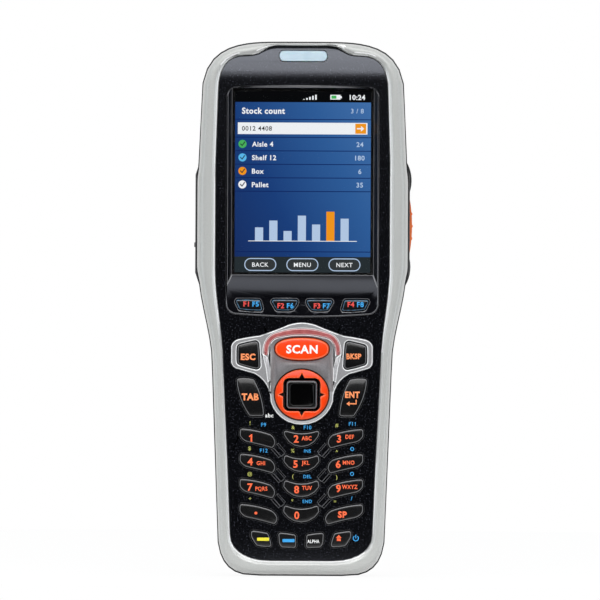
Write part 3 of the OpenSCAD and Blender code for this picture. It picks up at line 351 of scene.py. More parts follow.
# Rings of faces between a key's rolled edge and the tip of its crown, as shares of its outline
crown_shares = (0.72, 0.42)
# A pointed corner moves in by no more than the roll divided by this
corner_share = 0.5
cap_sharp_turn = math.radians(50)
caps = {}


def body_of(node):
    """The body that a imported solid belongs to."""
    return next(body for body, members in frame["record"]["behaviour"]["bodies"].items() if node in members)


def slot_of(node):
    """The record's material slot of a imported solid."""
    return next(part["material_slot"] for part in frame["record"]["subparts"] if part["node"] == node)


def new_piece(name, shape, finishes, node):
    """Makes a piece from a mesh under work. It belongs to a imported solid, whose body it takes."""
    mesh = bpy.data.meshes.new(name)
    shape.to_mesh(mesh)
    shape.free()
    for finish in finishes:
        mesh.materials.append(finish)
    piece = bpy.data.objects.new(name, mesh)
    bpy.context.scene.collection.objects.link(piece)
    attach(piece, body_of(node))
    slot_of(node)
    return piece


def open_loops(shape):
    """Chains the open edges of a mesh into closed loops of vertices, each in either direction."""
    left = [edge for edge in shape.edges if edge.is_boundary]
    loops = []
    while left:
        edge = left.pop(0)
        loop = list(edge.verts)
        while loop[-1] != loop[0]:
            step = next(e for e in loop[-1].link_edges if e in left)
            left.remove(step)
            loop.append(step.other_vert(loop[-1]))
        loops.append(loop[:-1])
    return loops


def area_of(loop):
    """Area within a loop, above zero where it runs anticlockwise in X and Z."""
    return sum(a.co.x * b.co.z - b.co.x * a.co.z for a, b in zip(loop, loop[1:] + loop[:1])) / 2


def inward_steps(loop):
    """For each point of a loop, the step in X and Z that moves the outline in by one metre."""
    steps = []
    for before, here, after in zip(loop[-1:] + loop[:-1], loop, loop[1:] + loop[:1]):
        pairs = ((before, here), (here, after))
        sides = [Vector((a.co.z - b.co.z, b.co.x - a.co.x)).normalized() for a, b in pairs]
        middle = (sides[0] + sides[1]).normalized()
        steps.append(middle / max(middle.dot(sides[0]), corner_share))
    return steps


def join_rings(shape, outer, inner, material):
    """Faces between two rings with as many points each."""
    for k in range(len(outer)):
        after = (k + 1) % len(outer)
        shape.faces.new((outer[k], outer[after], inner[after], inner[k])).material_index = material


def roll_edge(shape, loop, roll, turns, crown_y):
    """Rounds a key's top edge, with rings of faces from its wall to its crown, and returns the last one."""
    steps = inward_steps(loop)
    starts = [(v.co.x, v.co.z) for v in loop]
    for v in loop:
        v.co.y = crown_y(v.co.x, v.co.z) + roll
    ring = loop
    for turn in range(1, turns + 1):
        angle = math.pi / 2 * turn / turns
        inset = roll * (1 - math.cos(angle))
        fresh = []
        for (start_x, start_z), step in zip(starts, steps):
            x, z = start_x + step.x * inset, start_z + step.y * inset
            fresh.append(shape.verts.new((x, crown_y(x, z) + roll * (1 - math.sin(angle)), z)))
        # The rolled edge takes the key's second finish, a painted highlight
        join_rings(shape, ring, fresh, 1)
        ring = fresh
    return ring


def close_crown(shape, edge, crown_y):
    """Fills a key's top within its rolled edge: rings of the same outline, drawn in, and a tip."""
    middle_x = sum(v.co.x for v in edge) / len(edge)
    middle_z = sum(v.co.z for v in edge) / len(edge)
    ring = edge
    for share in crown_shares:
        fresh = []
        for v in edge:
            x, z = middle_x + (v.co.x - middle_x) * share, middle_z + (v.co.z - middle_z) * share
            fresh.append(shape.verts.new((x, crown_y(x, z), z)))
        join_rings(shape, ring, fresh, 0)
        ring = fresh
    tip = shape.verts.new((middle_x, crown_y(middle_x, middle_z), middle_z))
    for k in range(len(ring)):
        shape.faces.new((ring[k], ring[(k + 1) % len(ring)], tip)).material_index = 0


def roll_cap(node, finishes, roll, crown, turns=3):
    """Makes the piece that stands for a key: flange, stem and walls, a rounded edge and a smooth crown."""
    shape = bmesh.new()
    shape.from_mesh(nodes[node].data)
    bmesh.ops.remove_doubles(shape, verts=shape.verts, dist=weld_gap)
    tops = [f for f in shape.faces if -f.normal.y > top_share and all(v.co.y < panel_back for v in f.verts)]
    bmesh.ops.delete(shape, geom=tops, context="FACES")
    low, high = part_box(node)
    centre = Vector(((low.x + high.x) / 2, low.y + crown, (low.z + high.z) / 2))

    def crown_y(x, z):
        return centre.y - math.sqrt(crown ** 2 - (x - centre.x) ** 2 - (z - centre.z) ** 2)

    loops = sorted(open_loops(shape), key=lambda loop: -abs(area_of(loop)))
    for depth, loop in enumerate(loops):
        if (area_of(loop) > 0) == (depth > 0):
            loop.reverse()
    rims = [roll_edge(shape, loop, roll, turns, crown_y) for loop in loops]
    if len(rims) == 1:
        close_crown(shape, rims[0], crown_y)
    else:
        edges = [e for e in shape.edges if e.is_boundary]
        bmesh.ops.triangle_fill(shape, edges=edges, use_beauty=True, normal=(0, -1, 0))
    bmesh.ops.recalc_face_normals(shape, faces=list(shape.faces))
    cap = new_piece(node.replace("key_", "cap_"), shape, finishes, node)
    cap.data.shade_smooth()
    cap.data.set_sharp_from_angle(angle=cap_sharp_turn)
    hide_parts(node)
    caps[node] = cap


f_keys = ["key_f1", "key_f2", "key_f3", "key_f4"]
own_finish = ["key_plate", "key_scan"] + f_keys
for name in sorted(n for n in nodes if n.startswith("key_") and n not in own_finish):
    roll_cap(name, (key_black, key_rim_highlight), key_roll, key_crown)
for name in f_keys:
    roll_cap(name, (key_black, f_key_rim_highlight), key_roll, key_crown)

# ---- Scan key and navigation keys ----
# The scan key is a fat orange oval. Round the black centre key, which has a rim painted grey as a highlight
# and a sunk top, an orange ring tilts on a rubber web in four directions. An arrow is cut into each of its
# sides. The rounded edges of the scan key and the ring are painted a lighter orange as a highlight.

key_orange = new_finish("key_orange", (0.95, 0.054, 0.003), 0.28, Coat_Weight=0.1, Coat_Roughness=0.12,
                        Specular_IOR_Level=0.35)
add_mottle(key_orange, (0.97, 0.061, 0.004), (0.92, 0.047, 0.002), 4 * MM)
add_grain(key_orange, 0.3 * MM, 0.05)
# Lighter orange on the rolled edges of the scan key and the ring: a painted highlight
orange_edge_highlight = new_finish("orange_edge_highlight", (0.95, 0.12, 0.03), 0.2, Coat_Weight=0.3, Coat_Roughness=0.1)
add_wear(orange_edge_highlight, 0.08, 3 * MM)
scan_roll, scan_crown, scan_turns = 0.58 * MM, 40 * MM, 5
ring_roll, ring_crown, ring_turns = 0.4 * MM, 36 * MM, 4
roll_cap("key_scan", (key_orange, orange_edge_highlight), scan_roll, scan_crown, scan_turns)
roll_cap("nav_ring", (key_orange, orange_edge_highlight), ring_roll, ring_crown, ring_turns)
# Grey on the centre key's outer rim: a painted highlight
nav_rim_highlight = new_finish("nav_rim_highlight", (0.05, 0.048, 0.054), 0.16, Specular_IOR_Level=0.8, Coat_Weight=0.6)
add_wear(nav_rim_highlight, 0.08, 3 * MM)
nav_gloss = new_finish("nav_gloss", (0.0008, 0.0008, 0.001), 0.14, Specular_IOR_Level=0.2)
add_wear(nav_gloss, 0.06, 3 * MM)
centre_low, centre_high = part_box("nav_centre_key")
# The centre key's outer rim lies this close to its front and to its sides
rim_depth = 0.02 * MM
rim_width = 1.2 * MM


def on_outer_rim(place):
    """The outer edge of the centre key's front."""
    reach = max(abs(place.x), abs(place.z - (centre_low.z + centre_high.z) / 2))
    half = (centre_high.x - centre_low.x) / 2
    return place.y < centre_low.y + rim_depth and reach > half - rim_width


dress("nav_centre_key", nav_gloss, 0.55 * MM, nav_rim_highlight, chosen=on_outer_rim)

# ---- Legends ----
# Screen-printed ink on the key tops and on the panel: plain numbers, letters and signs. Each legend is a
# thin film that follows the crown of its key.

# Straight stretches in a rounded corner, and in a circle or a part of one
corner_steps = 5
arc_steps = 28
letter_spacing = 1.1
# Height of the built-in font's capitals, as a share of its size
font_cap = 0.729
# How far a film stands above its key and reaches into it, and the width of its strips
film_lift = 0.03 * MM
film_sink = 0.02 * MM
film_pitch = 0.5 * MM
# A place in front of the whole object
before_front = -0.1


def display_value(red, green, blue):
    """Colour from its values on a display, 0 to 255, by the curve of the sRGB standard."""
    shares = [value / 255 for value in (red, green, blue)]
    return tuple(c / 12.92 if c <= 0.04045 else ((c + 0.055) / 1.055) ** 2.4 for c in shares)


def new_ink(name, colour):
    """Printing ink: matt and a little uneven."""
    ink = new_finish(name, colour, 0.5, Specular_IOR_Level=0.2)
    add_mottle(ink, tuple(min(1, c * 1.04) for c in colour), tuple(c * 0.94 for c in colour), 0.6 * MM)
    return ink


ink_orange = new_ink("ink_orange", display_value(255, 108, 66))
ink_peach = new_ink("ink_peach", display_value(255, 150, 96))
ink_white = new_ink("ink_white", display_value(250, 250, 248))
ink_yellow = new_ink("ink_yellow", display_value(232, 220, 60))
ink_olive = new_ink("ink_olive", display_value(176, 178, 92))
ink_blue = new_ink("ink_blue", display_value(60, 160, 225))
ink_red = new_ink("ink_red", display_value(232, 78, 72))
printed_skins = {}


def flat_shape(points):
    """Flat outline through points in X and Z, in millimetres."""
    flat = bmesh.new()
    flat.faces.new([flat.verts.new((x * MM, 0, z * MM)) for x, z in points])
    bmesh.ops.triangulate(flat, faces=list(flat.faces))
    return flat


def round_bar(width, height, x, z, radius):
    """Flat bar with rounded corners, in millimetres."""
    points = []
    for turn, (side, end) in enumerate(((1, 1), (-1, 1), (-1, -1), (1, -1))):
        for step in range(corner_steps + 1):
            angle = math.pi / 2 * (turn + step / corner_steps)
            points.append((x + side * (width / 2 - radius) + radius * math.cos(angle),
                           z + end * (height / 2 - radius) + radius * math.sin(angle)))
    return flat_shape(points)


def arc_band(x, z, radius, width, start=0, end=360):
    """Flat line of the given width along a circle, from one angle to the other."""
    flat = bmesh.new()
    points = arc_steps + (end - start < 360)
    angles = [math.radians(start + (end - start) * k / arc_steps) for k in range(points)]
    rings = []
    for reach in (radius - width / 2, radius + width / 2):
        rings.append([flat.verts.new(((x + reach * math.cos(a)) * MM, 0, (z + reach * math.sin(a)) * MM))
                      for a in angles])
    for k in range(arc_steps):
        after = (k + 1) % len(rings[0])
        flat.faces.new((rings[0][k], rings[1][k], rings[1][after], rings[0][after]))
    return flat


def stroke(points, width):
    """Flat line of the given width from point to point, each stretch a bar of its own."""
    flats = []
    for (x0, z0), (x1, z1) in zip(points, points[1:]):
        along = Vector((x1 - x0, z1 - z0)).normalized() * width / 2
        across = Vector((-along.y, along.x))
        corners = [Vector((x0, z0)) - along - across, Vector((x1, z1)) + along - across,
                   Vector((x1, z1)) + along + across, Vector((x0, z0)) - along + across]
        flats.append(flat_shape([(c.x, c.y) for c in corners]))
    return flats


# The built-in font draws its 1 as a plain bar, so the 1 has an outline of its own, in shares of its height
digit_middle = 0.3
digit_one = [(0.30, 0), (0.52, 0), (0.52, 1), (0.36, 1),
             (0.28, 0.88), (0.10, 0.76), (0.10, 0.60), (0.30, 0.70)]


def letters(text, height, x, z, weight=0.03, stretch=1.0, from_left=False):
    """Flat outline of a word, centred on x and z or starting at x, in millimetres.

    height is that of its capitals, weight thickens its strokes by a share of the font's size, and stretch
    widens it.
    """
    if text == "1":
        return flat_shape([(x + (px - digit_middle) * height * stretch, z + (pz - 0.5) * height)
                           for px, pz in digit_one])
    curve = bpy.data.curves.new("word", "FONT")
    curve.body = text
    curve.size = 1
    curve.offset = weight
    curve.space_character = letter_spacing
    curve.resolution_u = 3
    word = bpy.data.objects.new("word", curve)
    bpy.context.scene.collection.objects.link(word)
    drawn = word.evaluated_get(bpy.context.evaluated_depsgraph_get()).to_mesh()
    flat = bmesh.new()
    flat.from_mesh(drawn)
    bpy.data.objects.remove(word)
    bpy.data.curves.remove(curve)
    across = [v.co.x for v in flat.verts]
    start = min(across) if from_left else (max(across) + min(across)) / 2
    scale = height / font_cap
    for v in flat.verts:
        v.co = Vector(((x + (v.co.x - start) * scale * stretch) * MM, 0,
                       (z + (v.co.y - font_cap / 2) * scale) * MM))
    return flat


def surface_of(node):
    """The surface to print on: a key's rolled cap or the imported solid."""
    if node not in printed_skins:
        solid = bmesh.new()
        solid.from_mesh(caps[node].data if node in caps else nodes[node].data)
        printed_skins[node] = BVHTree.FromBMesh(solid)
        solid.free()
    return printed_skins[node]


def close_film(flats, sink):
    """Joins flat films into one mesh and gives it a back, sink metres behind the front."""
    whole = bmesh.new()
    for flat in flats:
        mesh = bpy.data.meshes.new("film")
        flat.to_mesh(mesh)
        flat.free()
        whole.from_mesh(mesh)
        bpy.data.meshes.remove(mesh)
    film = bmesh.ops.extrude_face_region(whole, geom=list(whole.faces))
    for v in film["geom"]:
        if isinstance(v, bmesh.types.BMVert):
            v.co.y += sink
    bmesh.ops.recalc_face_normals(whole, faces=list(whole.faces))
    return whole


def cut_small(flat):
    """Cuts a flat film into narrow strips both ways, so that it can follow a crown."""
    for axis in (0, 2):
        places = [v.co[axis] for v in flat.verts]
        normal = Vector((axis == 0, 0, axis == 2))
        for k in range(math.floor(min(places) / film_pitch) + 1, math.ceil(max(places) / film_pitch)):
            whole = list(flat.verts) + list(flat.edges) + list(flat.faces)
            bmesh.ops.bisect_plane(flat, geom=whole, plane_co=normal * film_pitch * k, plane_no=normal)


def print_on(name, flats, node, ink):
    """Lays flat films on the front of a solid, as one printed piece that rides on the solid's body."""
    skin = surface_of(node)
    for flat in flats:
        if node in caps:
            cut_small(flat)
        for v in flat.verts:
            hit = skin.ray_cast(Vector((v.co.x, before_front, v.co.z)), Vector((0, 1, 0)))[0]
            v.co.y = (hit.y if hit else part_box(node)[0].y) - film_lift
    new_piece(name, close_film(flats, film_lift + film_sink), (ink,), node)


word_weight = 0.045
# Sizes and places of legends are in millimetres. Key: (word, height, x, z, stretch)
word_legends = {
    "key_escape": ("ESC", 1.95, -17.1, 69.8, 1.0), "key_backspace": ("BKSP", 1.7, 16.5, 70.1, 0.86),
    "key_tab": ("TAB", 2.1, -16.4, 57.1, 0.95), "key_enter": ("ENT", 1.95, 16.1, 57.9, 0.88)}
for node, (word, height, x, z, stretch) in word_legends.items():
    legend = letters(word, height, x, z, word_weight, stretch)
    print_on(node.replace("key_", "legend_"), [legend], node, ink_peach)
enter_arrow = stroke([(15.0, 55.0), (17.3, 55.0), (17.3, 56.1)], 0.34)
enter_arrow.append(flat_shape([(15.2, 55.75), (14.2, 55.0), (15.2, 54.25)]))
print_on("legend_enter_arrow", enter_arrow, "key_enter", ink_peach)
digit_height, small_height, small_weight, small_stretch = 2.35, 1.3, 0.028, 0.86
# Digit: (x, z, its letters, their x and z)
number_legends = {
    "1": (-16.2, 44.0, "", 0, 0), "2": (-1.7, 43.8, "ABC", 1.6, 44.0), "3": (11.9, 43.9, "DEF", 15.3, 44.5),
    "4": (-16.3, 36.5, "GHI", -12.9, 36.0), "5": (-1.9, 35.8, "JKL", 1.3, 36.2),
    "6": (11.7, 35.8, "MNO", 15.0, 36.3), "7": (-16.3, 28.4, "PQRS", -12.7, 27.9),
    "8": (-1.5, 27.7, "TUV", 1.8, 28.2), "9": (11.8, 28.1, "WXYZ", 15.4, 28.6), "0": (-1.4, 19.5, "", 0, 0)}
for digit, (x, z, small, small_x, small_z) in number_legends.items():
    print_on("legend_" + digit, [letters(digit, digit_height, x, z)], "key_" + digit, ink_orange)
    if small:
        legend = letters(small, small_height, small_x, small_z, small_weight, small_stretch)
        print_on("legend_" + small, [legend], "key_" + digit, ink_orange)
print_on("legend_scan", [letters("SCAN", 2.6, 0, 72.3, 0.032, 1.03)], "key_scan", ink_white)
print_on("legend_space", [letters("SP", 1.95, 13.1, 19.8, word_weight)], "key_space", ink_orange)
print_on("legend_dot", [round_bar(0.9, 0.9, -14.4, 20.1, 0.45)], "key_dot", ink_orange)
print_on("legend_yellow", [round_bar(3.8, 1.0, -12.1, 11.8, 0.2)], "key_yellow", ink_yellow)
print_on("legend_blue", [round_bar(3.8, 1.0, -4.0, 11.4, 0.2)], "key_blue", ink_blue)
print_on("legend_alpha", [letters("ALPHA", 1.1, 3.9, 11.2, 0.02, 0.76)], "key_alpha", ink_white)
roof = flat_shape([(11.1, 12.35), (12.9, 12.35), (12.0, 13.25)])
walls = flat_shape([(11.4, 11.35), (12.6, 11.35), (12.6, 12.2), (11.4, 12.2)])
print_on("legend_home", [roof, walls], "key_power", ink_orange)
f_height, f_weight = 1.6, 0.035
# Function key: (first number in red, second in blue, x of each, z)
f_legends = {"key_f1": ("F1", "F5", -17.8, -14.8, 86.6), "key_f2": ("F2", "F6", -6.8, -3.8, 86.1),
             "key_f3": ("F3", "F7", 4.7, 7.7, 86.1), "key_f4": ("F4", "F8", 15.5, 18.5, 86.6)}
for node, (first, second, first_x, second_x, z) in f_legends.items():
    print_on("legend_" + first, [letters(first, f_height, first_x, z, f_weight)], node, ink_red)
    print_on("legend_" + second, [letters(second, f_height, second_x, z, f_weight)], node, ink_blue)
sign_weight, blue_stretch = 0.02, 0.95
# Second functions, printed on the panel above the number rows: (sign, height, x, z)
olive_signs = [
    ("!", 1.2, -16.4, 48.7), ("&", 1.2, -2.7, 47.4), ("#", 1.2, 11.2, 48.2), ("$", 1.3, -16.5, 40.7),
    ("%", 1.2, -2.8, 40.0), ("^", 1.2, 11.2, 39.7), ("@", 1.1, -16.4, 32.6), ("(", 1.2, -2.7, 31.9),
    (")", 1.2, 11.2, 31.7), ("+", 1.2, -16.3, 24.7), ("*", 1.2, -2.8, 24.0), ("=", 1.1, 10.7, 23.9)]
blue_signs = [
    ("F9", 1.25, -12.1, 48.2), ("F10", 1.25, 1.9, 47.4), ("F11", 1.25, 16.1, 48.6),
    ("F12", 1.25, -12.0, 40.0), ("INS", 1.1, 1.9, 39.9), ("DEL", 1.1, 1.9, 31.8),
    ("END", 1.1, 1.9, 23.9), ("/", 1.2, 16.0, 24.9)]
olive_letters = [letters(sign, height, x, z, sign_weight) for sign, height, x, z in olive_signs]
print_on("signs_yellow", olive_letters, "front_panel", ink_olive)
sign_rings = [arc_band(16.1, z, 0.5, 0.24) for z in (40.6, 32.7)]
blue_letters = [letters(sign, height, x, z, sign_weight, blue_stretch) for sign, height, x, z in blue_signs]
print_on("signs_blue", sign_rings + blue_letters, "front_panel", ink_blue)
print_on("sign_letters", [letters("abc", small_height, -10.3, 51.2, sign_weight)], "front_panel", ink_white)
power_sign = [arc_band(17.4, 12.2, 0.82, 0.26, 125, 415)] + stroke([(17.4, 12.3), (17.4, 13.2)], 0.26)
print_on("sign_power", power_sign, "front_panel", ink_blue)

# ---- Display ----
# A lit colour panel in a thin frame. Its picture is a plain stock-count page of thin lit films: a status
# bar, a title, an entry field, four rows with round signs, a bar chart and a bar of soft keys.

display_black = new_finish("display_black", (0.002, 0.002, 0.002), 0.4, Specular_IOR_Level=0.2)
add_mottle(display_black, (0.0024, 0.0024, 0.0024), (0.0016, 0.0016, 0.0016), 2 * MM)
dress("display_module", display_black)
module_low, module_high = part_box("display_module")
# The module's unlit edge, and from here on all sizes of the page, in millimetres
edge_beside, edge_below, edge_above = 2.2, 2.2, 1.7
page_left = module_low.x / MM + edge_beside
page_right = module_high.x / MM - edge_beside
page_foot = module_low.z / MM + edge_below
page_top = module_high.z / MM - edge_above
page_width, page_height = page_right - page_left, page_top - page_foot
# Thickness of one lit film, in metres like the rest of the script
film_step = 0.015 * MM


def new_glow(name, colour):
    """Lit part of the display."""
    glow = new_finish(name, (0, 0, 0), 0.5, Specular_IOR_Level=0.0, Emission_Strength=1.0)
    glow.node_tree.nodes["Principled BSDF"].inputs["Emission Color"].default_value = (*colour, 1)
    return glow


def fade_across(glow, stops, slope, start):
    """Lets a glow run through colours over the page: stops of (share, colour).

    The share is start at the part's origin, and rises by slope for each metre along X, Y and Z.
    """
    tree = glow.node_tree
    place = tree.nodes.new("ShaderNodeTexCoord")
    lean = tree.nodes.new("ShaderNodeVectorMath")
    lean.operation = "DOT_PRODUCT"
    lean.inputs[1].default_value = slope
    share = tree.nodes.new("ShaderNodeMath")
    share.inputs[1].default_value = start
    ramp = tree.nodes.new("ShaderNodeValToRGB")
    for end in (0, -1):
        ramp.color_ramp.elements[end].position = stops[end][0]
        ramp.color_ramp.elements[end].color = (*stops[end][1], 1)
    for level, colour in stops[1:-1]:
        ramp.color_ramp.elements.new(level).color = (*colour, 1)
    tree.links.new(place.outputs["Object"], lean.inputs[0])
    tree.links.new(lean.outputs["Value"], share.inputs[0])
    tree.links.new(share.outputs["Value"], ramp.inputs["Fac"])
    tree.links.new(ramp.outputs["Color"], tree.nodes["Principled BSDF"].inputs["Emission Color"])


def show(name, flats, layer, glow):
    """Puts lit films on the display, layer films above its front."""
    for flat in flats:
        for v in flat.verts:
            v.co.y = module_low.y - film_step * (layer + 1)
    new_piece(name, close_film(flats, film_step), (glow,), "display_module")


def page_x(share):
    """X of a share of the page's width."""
    return page_left + page_width * share


def page_strip(left, right, top, foot):
    """Flat rectangle between two shares of the page's width and two depths below its top."""
    return flat_shape([(page_x(left), page_top - foot), (page_x(right), page_top - foot),
                       (page_x(right), page_top - top), (page_x(left), page_top - top)])


page_blue = new_glow("page_blue", display_value(36, 80, 140))
page_stops = [(0.0, display_value(22, 44, 96)), (0.34, display_value(26, 62, 122)),
              (0.7, display_value(46, 92, 152)), (1.0, display_value(66, 112, 170))]
# How much of its run of colours the page goes through from left to right, and from foot to top
rise_across, rise_up = 0.62, 0.38
slope_x, slope_z = rise_across / (page_width * MM), rise_up / (page_height * MM)
fade_across(page_blue, page_stops, (slope_x, 0, slope_z), rise_across / 2 - slope_z * page_foot * MM)
glow_white = new_glow("glow_white", display_value(240, 243, 246))
glow_pale = new_glow("glow_pale", display_value(178, 200, 228))
glow_black = new_glow("glow_black", display_value(6, 7, 9))
glow_line = new_glow("glow_line", display_value(14, 36, 92))
glow_orange = new_glow("glow_orange", display_value(240, 150, 30))
glow_green = new_glow("glow_green", display_value(72, 178, 92))
glow_cyan = new_glow("glow_cyan", display_value(90, 184, 235))
glow_dark = new_glow("glow_dark", display_value(38, 46, 50))
glow_pill = new_glow("glow_pill", display_value(52, 56, 58))

status_foot, soft_top = 3.4, page_height - 5.0
title_foot, rows_top, row_pitch, rows, chart_end, line_half = 8.9, 14.6, 4.3, 4, 51.0, 0.13
show("page", [page_strip(0, 1, 0, page_height)], 0, page_blue)
show("page_status_bar", [page_strip(0, 1, 0, status_foot)], 1, glow_black)
show("page_soft_bar", [page_strip(0, 1, soft_top, page_height)], 1, glow_dark)
row_tops = [rows_top + row_pitch * k for k in range(rows + 1)]
line_tops = [title_foot] + row_tops + [chart_end]
row_lines = [page_strip(0, 1, top - line_half, top + line_half) for top in line_tops]
show("page_row_lines", row_lines, 1, glow_line)

signals, signal_pitch, signal_step, status_base = 5, 0.022, 0.35, 2.6
signal = [page_strip(0.500 + signal_pitch * k, 0.512 + signal_pitch * k, 2.4 - signal_step * k, status_base)
          for k in range(signals)]
battery_sign = [page_strip(0.70, 0.775, 1.0, 2.5), page_strip(0.775, 0.785, 1.4, 2.1)]
clock = letters("10:24", 1.6, page_x(0.90), page_top - 1.75, 0.03)
show("page_status", signal + battery_sign + [clock], 2, glow_white)
show("page_battery_fill", [page_strip(0.708, 0.745, 1.25, 2.25)], 3, glow_green)
title_z = page_top - 6.1
title = letters("Stock count", 1.95, page_x(0.05), title_z, 0.03, 0.95, from_left=True)
show("page_title", [title], 2, glow_white)
show("page_title_date", [letters("3 / 8", 1.5, page_x(0.90), title_z, 0.01)], 2, glow_pale)

show("page_field", [page_strip(0.02, 0.975, 9.9, 13.6)], 2, glow_white)
field_z = page_top - 11.75
entry = letters("0012 4408", 1.5, page_x(0.05), field_z, 0.012, from_left=True)
show("page_field_text", [entry], 3, glow_black)
show("page_field_key", [page_strip(0.885, 0.965, 10.15, 13.35)], 3, glow_orange)
arrow_x, arrow_half = page_x(0.925), 0.9
arrow = stroke([(arrow_x - 1.0, field_z), (arrow_x + 0.4, field_z)], 0.4)
arrow.append(flat_shape([(arrow_x + 0.1, field_z - arrow_half), (arrow_x + 1.1, field_z),
                         (arrow_x + 0.1, field_z + arrow_half)]))
show("page_field_arrow", arrow, 4, glow_white)

row_words = ["Aisle 4", "Shelf 12", "Box", "Pallet"]
row_counts = ["24", "180", "6", "35"]
row_glows = [glow_green, glow_cyan, glow_orange, glow_white]
sign_x, sign_width = page_x(0.055), 2.6
words, counts, ticks = [], [], []
for top, word, count, glow in zip(row_tops, row_words, row_counts, row_glows):
    middle = page_top - top - row_pitch / 2
    sign = round_bar(sign_width, sign_width, sign_x, middle, sign_width / 2)
    show("page_sign_" + word.split()[0], [sign], 2, glow)
    tick = [(sign_x - 0.6, middle), (sign_x - 0.1, middle - 0.5), (sign_x + 0.7, middle + 0.6)]
    ticks += stroke(tick, 0.3)
    words.append(letters(word, 1.6, page_x(0.125), middle, 0.025, from_left=True))
    counts.append(letters(count, 1.55, page_x(0.92), middle, 0.02))
show("page_ticks", ticks, 3, glow_dark)
show("page_words", words, 2, glow_white)
show("page_counts", counts, 2, glow_pale)

chart_foot, chart_left, bar_pitch, bar_width = 47.5, 0.15, 0.105, 0.06
heights = [4.2, 6.4, 3.1, 8.0, 5.2, 9.3, 7.1]
lefts = [chart_left + bar_pitch * k for k in range(len(heights))]
bars = [page_strip(left, left + bar_width, chart_foot - height, chart_foot)
        for left, height in zip(lefts, heights)]
show("page_chart", bars[:5] + bars[6:], 2, glow_pale)
show("page_chart_best", [bars[5]], 2, glow_orange)
show("page_chart_foot", [page_strip(0.10, 0.90, chart_foot, chart_foot + 0.2)], 2, glow_white)

soft_z = page_foot + 2.5
soft_width, soft_height, soft_radius, soft_rim = 10.2, 4.1, 2.0, 0.3
for share, word in ((0.19, "BACK"), (0.5, "MENU"), (0.81, "NEXT")):
    x = page_x(share)
    rim, field = (round_bar(soft_width - 2 * inset, soft_height - 2 * inset, x, soft_z, soft_radius - inset)
                  for inset in (0, soft_rim))
    show("page_key_rim_" + word, [rim], 2, glow_pale)
    show("page_key_" + word, [field], 3, glow_pill)
    show("page_key_word_" + word, [letters(word, 1.4, x, soft_z, 0.012)], 4, glow_white)

# ---- Touch panel ----
# Clear hardened glass over the display, with the touch film on its back. It is seated against the gasket
# and the surround.

film_clear = new_finish("film_clear", (1, 1, 1), 0.02, IOR=1.3, Transmission_Weight=1.0)
dress("touch_panel", film_clear)

# ---- Inside ----
# The membrane, the boards, the battery, the scan engine and the sockets, each in its own plain finish. They
# are screwed or laid into the housings, and show only through the ports and with the doors open.

inner_finishes = {
    "silicone_grey": ((0.10, 0.10, 0.11), 0.6, ["keypad_membrane"]),
    "solder_green": ((0.012, 0.11, 0.045), 0.35, ["keypad_board", "main_board"]),
    "nylon_black": ((0.02, 0.02, 0.021), 0.5, ["nav_carrier", "speaker", "io_connector"]),
    "cell_wrap": ((0.045, 0.047, 0.055), 0.4, ["battery_pack"]),
    "switch_cream": ((0.62, 0.56, 0.44), 0.45, ["trigger_switch"]),
}
for finish_name, (colour, roughness, members) in inner_finishes.items():
    finish = new_finish(finish_name, colour, roughness)
    add_mottle(finish, tuple(c * 1.12 for c in colour), tuple(c * 0.9 for c in colour), 2 * MM)
    add_grain(finish, 0.4 * MM, 0.2)
    for name in members:
        dress(name, finish, 0.1 * MM)
metal_finishes = {
    "stamped_steel": ((0.62, 0.62, 0.63), 0.3, ["keypad_domes", "board_screws", "housing_screws",
                                                "battery_door_pin", "port_door_pin", "usb_socket"]),
    "gold_plate": ((0.85, 0.60, 0.22), 0.25, ["battery_contacts", "antenna"]),
    "die_cast_grey": ((0.25, 0.26, 0.28), 0.45, ["scan_engine"]),
}
for finish_name, (colour, roughness, members) in metal_finishes.items():
    finish = new_finish(finish_name, colour, roughness, Metallic=1.0)
    add_mottle(finish, tuple(min(1, c * 1.05) for c in colour), tuple(c * 0.9 for c in colour), 1.5 * MM)
    add_grain(finish, 0.3 * MM, 0.1)
    for name in members:
        dress(name, finish, 0.08 * MM)

# ---- Scan window ----
# A dark red filter, moulded in acrylic and clear to the aiming beam. It is snapped into the top end, in
# front of the scan engine.

filter_red = new_finish("filter_red", (0.12, 0.004, 0.008), 0.06, Coat_Weight=1.0, Coat_Roughness=0.03)
add_wear(filter_red, 0.04)
dress("scan_window", filter_red, 0.3 * MM)

# ---- Trigger and doors ----
# The orange side trigger and the latch, moulded with grip ribs, and the two black doors. The battery door
# in the back and the port door in the left side each hang on a steel pin.

trigger_orange = new_finish("trigger_orange", (0.92, 0.17, 0.028), 0.42, Coat_Weight=0.1)
add_mottle(trigger_orange, (0.95, 0.20, 0.036), (0.87, 0.145, 0.022), 4 * MM)
add_grain(trigger_orange, 0.3 * MM, 0.25)
dress("side_trigger", trigger_orange, 0.4 * MM)
dress("battery_latch", trigger_orange, 0.2 * MM)
dress("battery_door", shell_black, 0.3 * MM)
dress("port_door", shell_black, 0.2 * MM)

# ---- Studio ----
# A pale floor, a soft box above the front and one at each side, and a surround that is bright behind and
# above the object and dark in front of it, where the room is.

scene = bpy.context.scene
scene.view_settings.view_transform = "Standard"


def combine(tree, operation, first, second):
    """One number from two, by a Math node's operation."""
    both = tree.nodes.new("ShaderNodeMath")
    both.operation = operation
    tree.links.new(first, both.inputs[0])
    tree.links.new(second, both.inputs[1])
    return both.outputs["Value"]


def seen_directly(tree):
    """1 for what is seen straight, in a mirror or through glass, and 0 for what only lights the object."""
    rays = tree.nodes.new("ShaderNodeLightPath").outputs
    mirrored = combine(tree, "MAXIMUM", rays["Is Glossy Ray"], rays["Is Transmission Ray"])
    return combine(tree, "MAXIMUM", rays["Is Camera Ray"], mirrored)


# The floor reaches further back than forward, and lies a hair under the foot
floor_radius = 0.36
floor_back = 0.24
floor_gap = 0.1 * MM
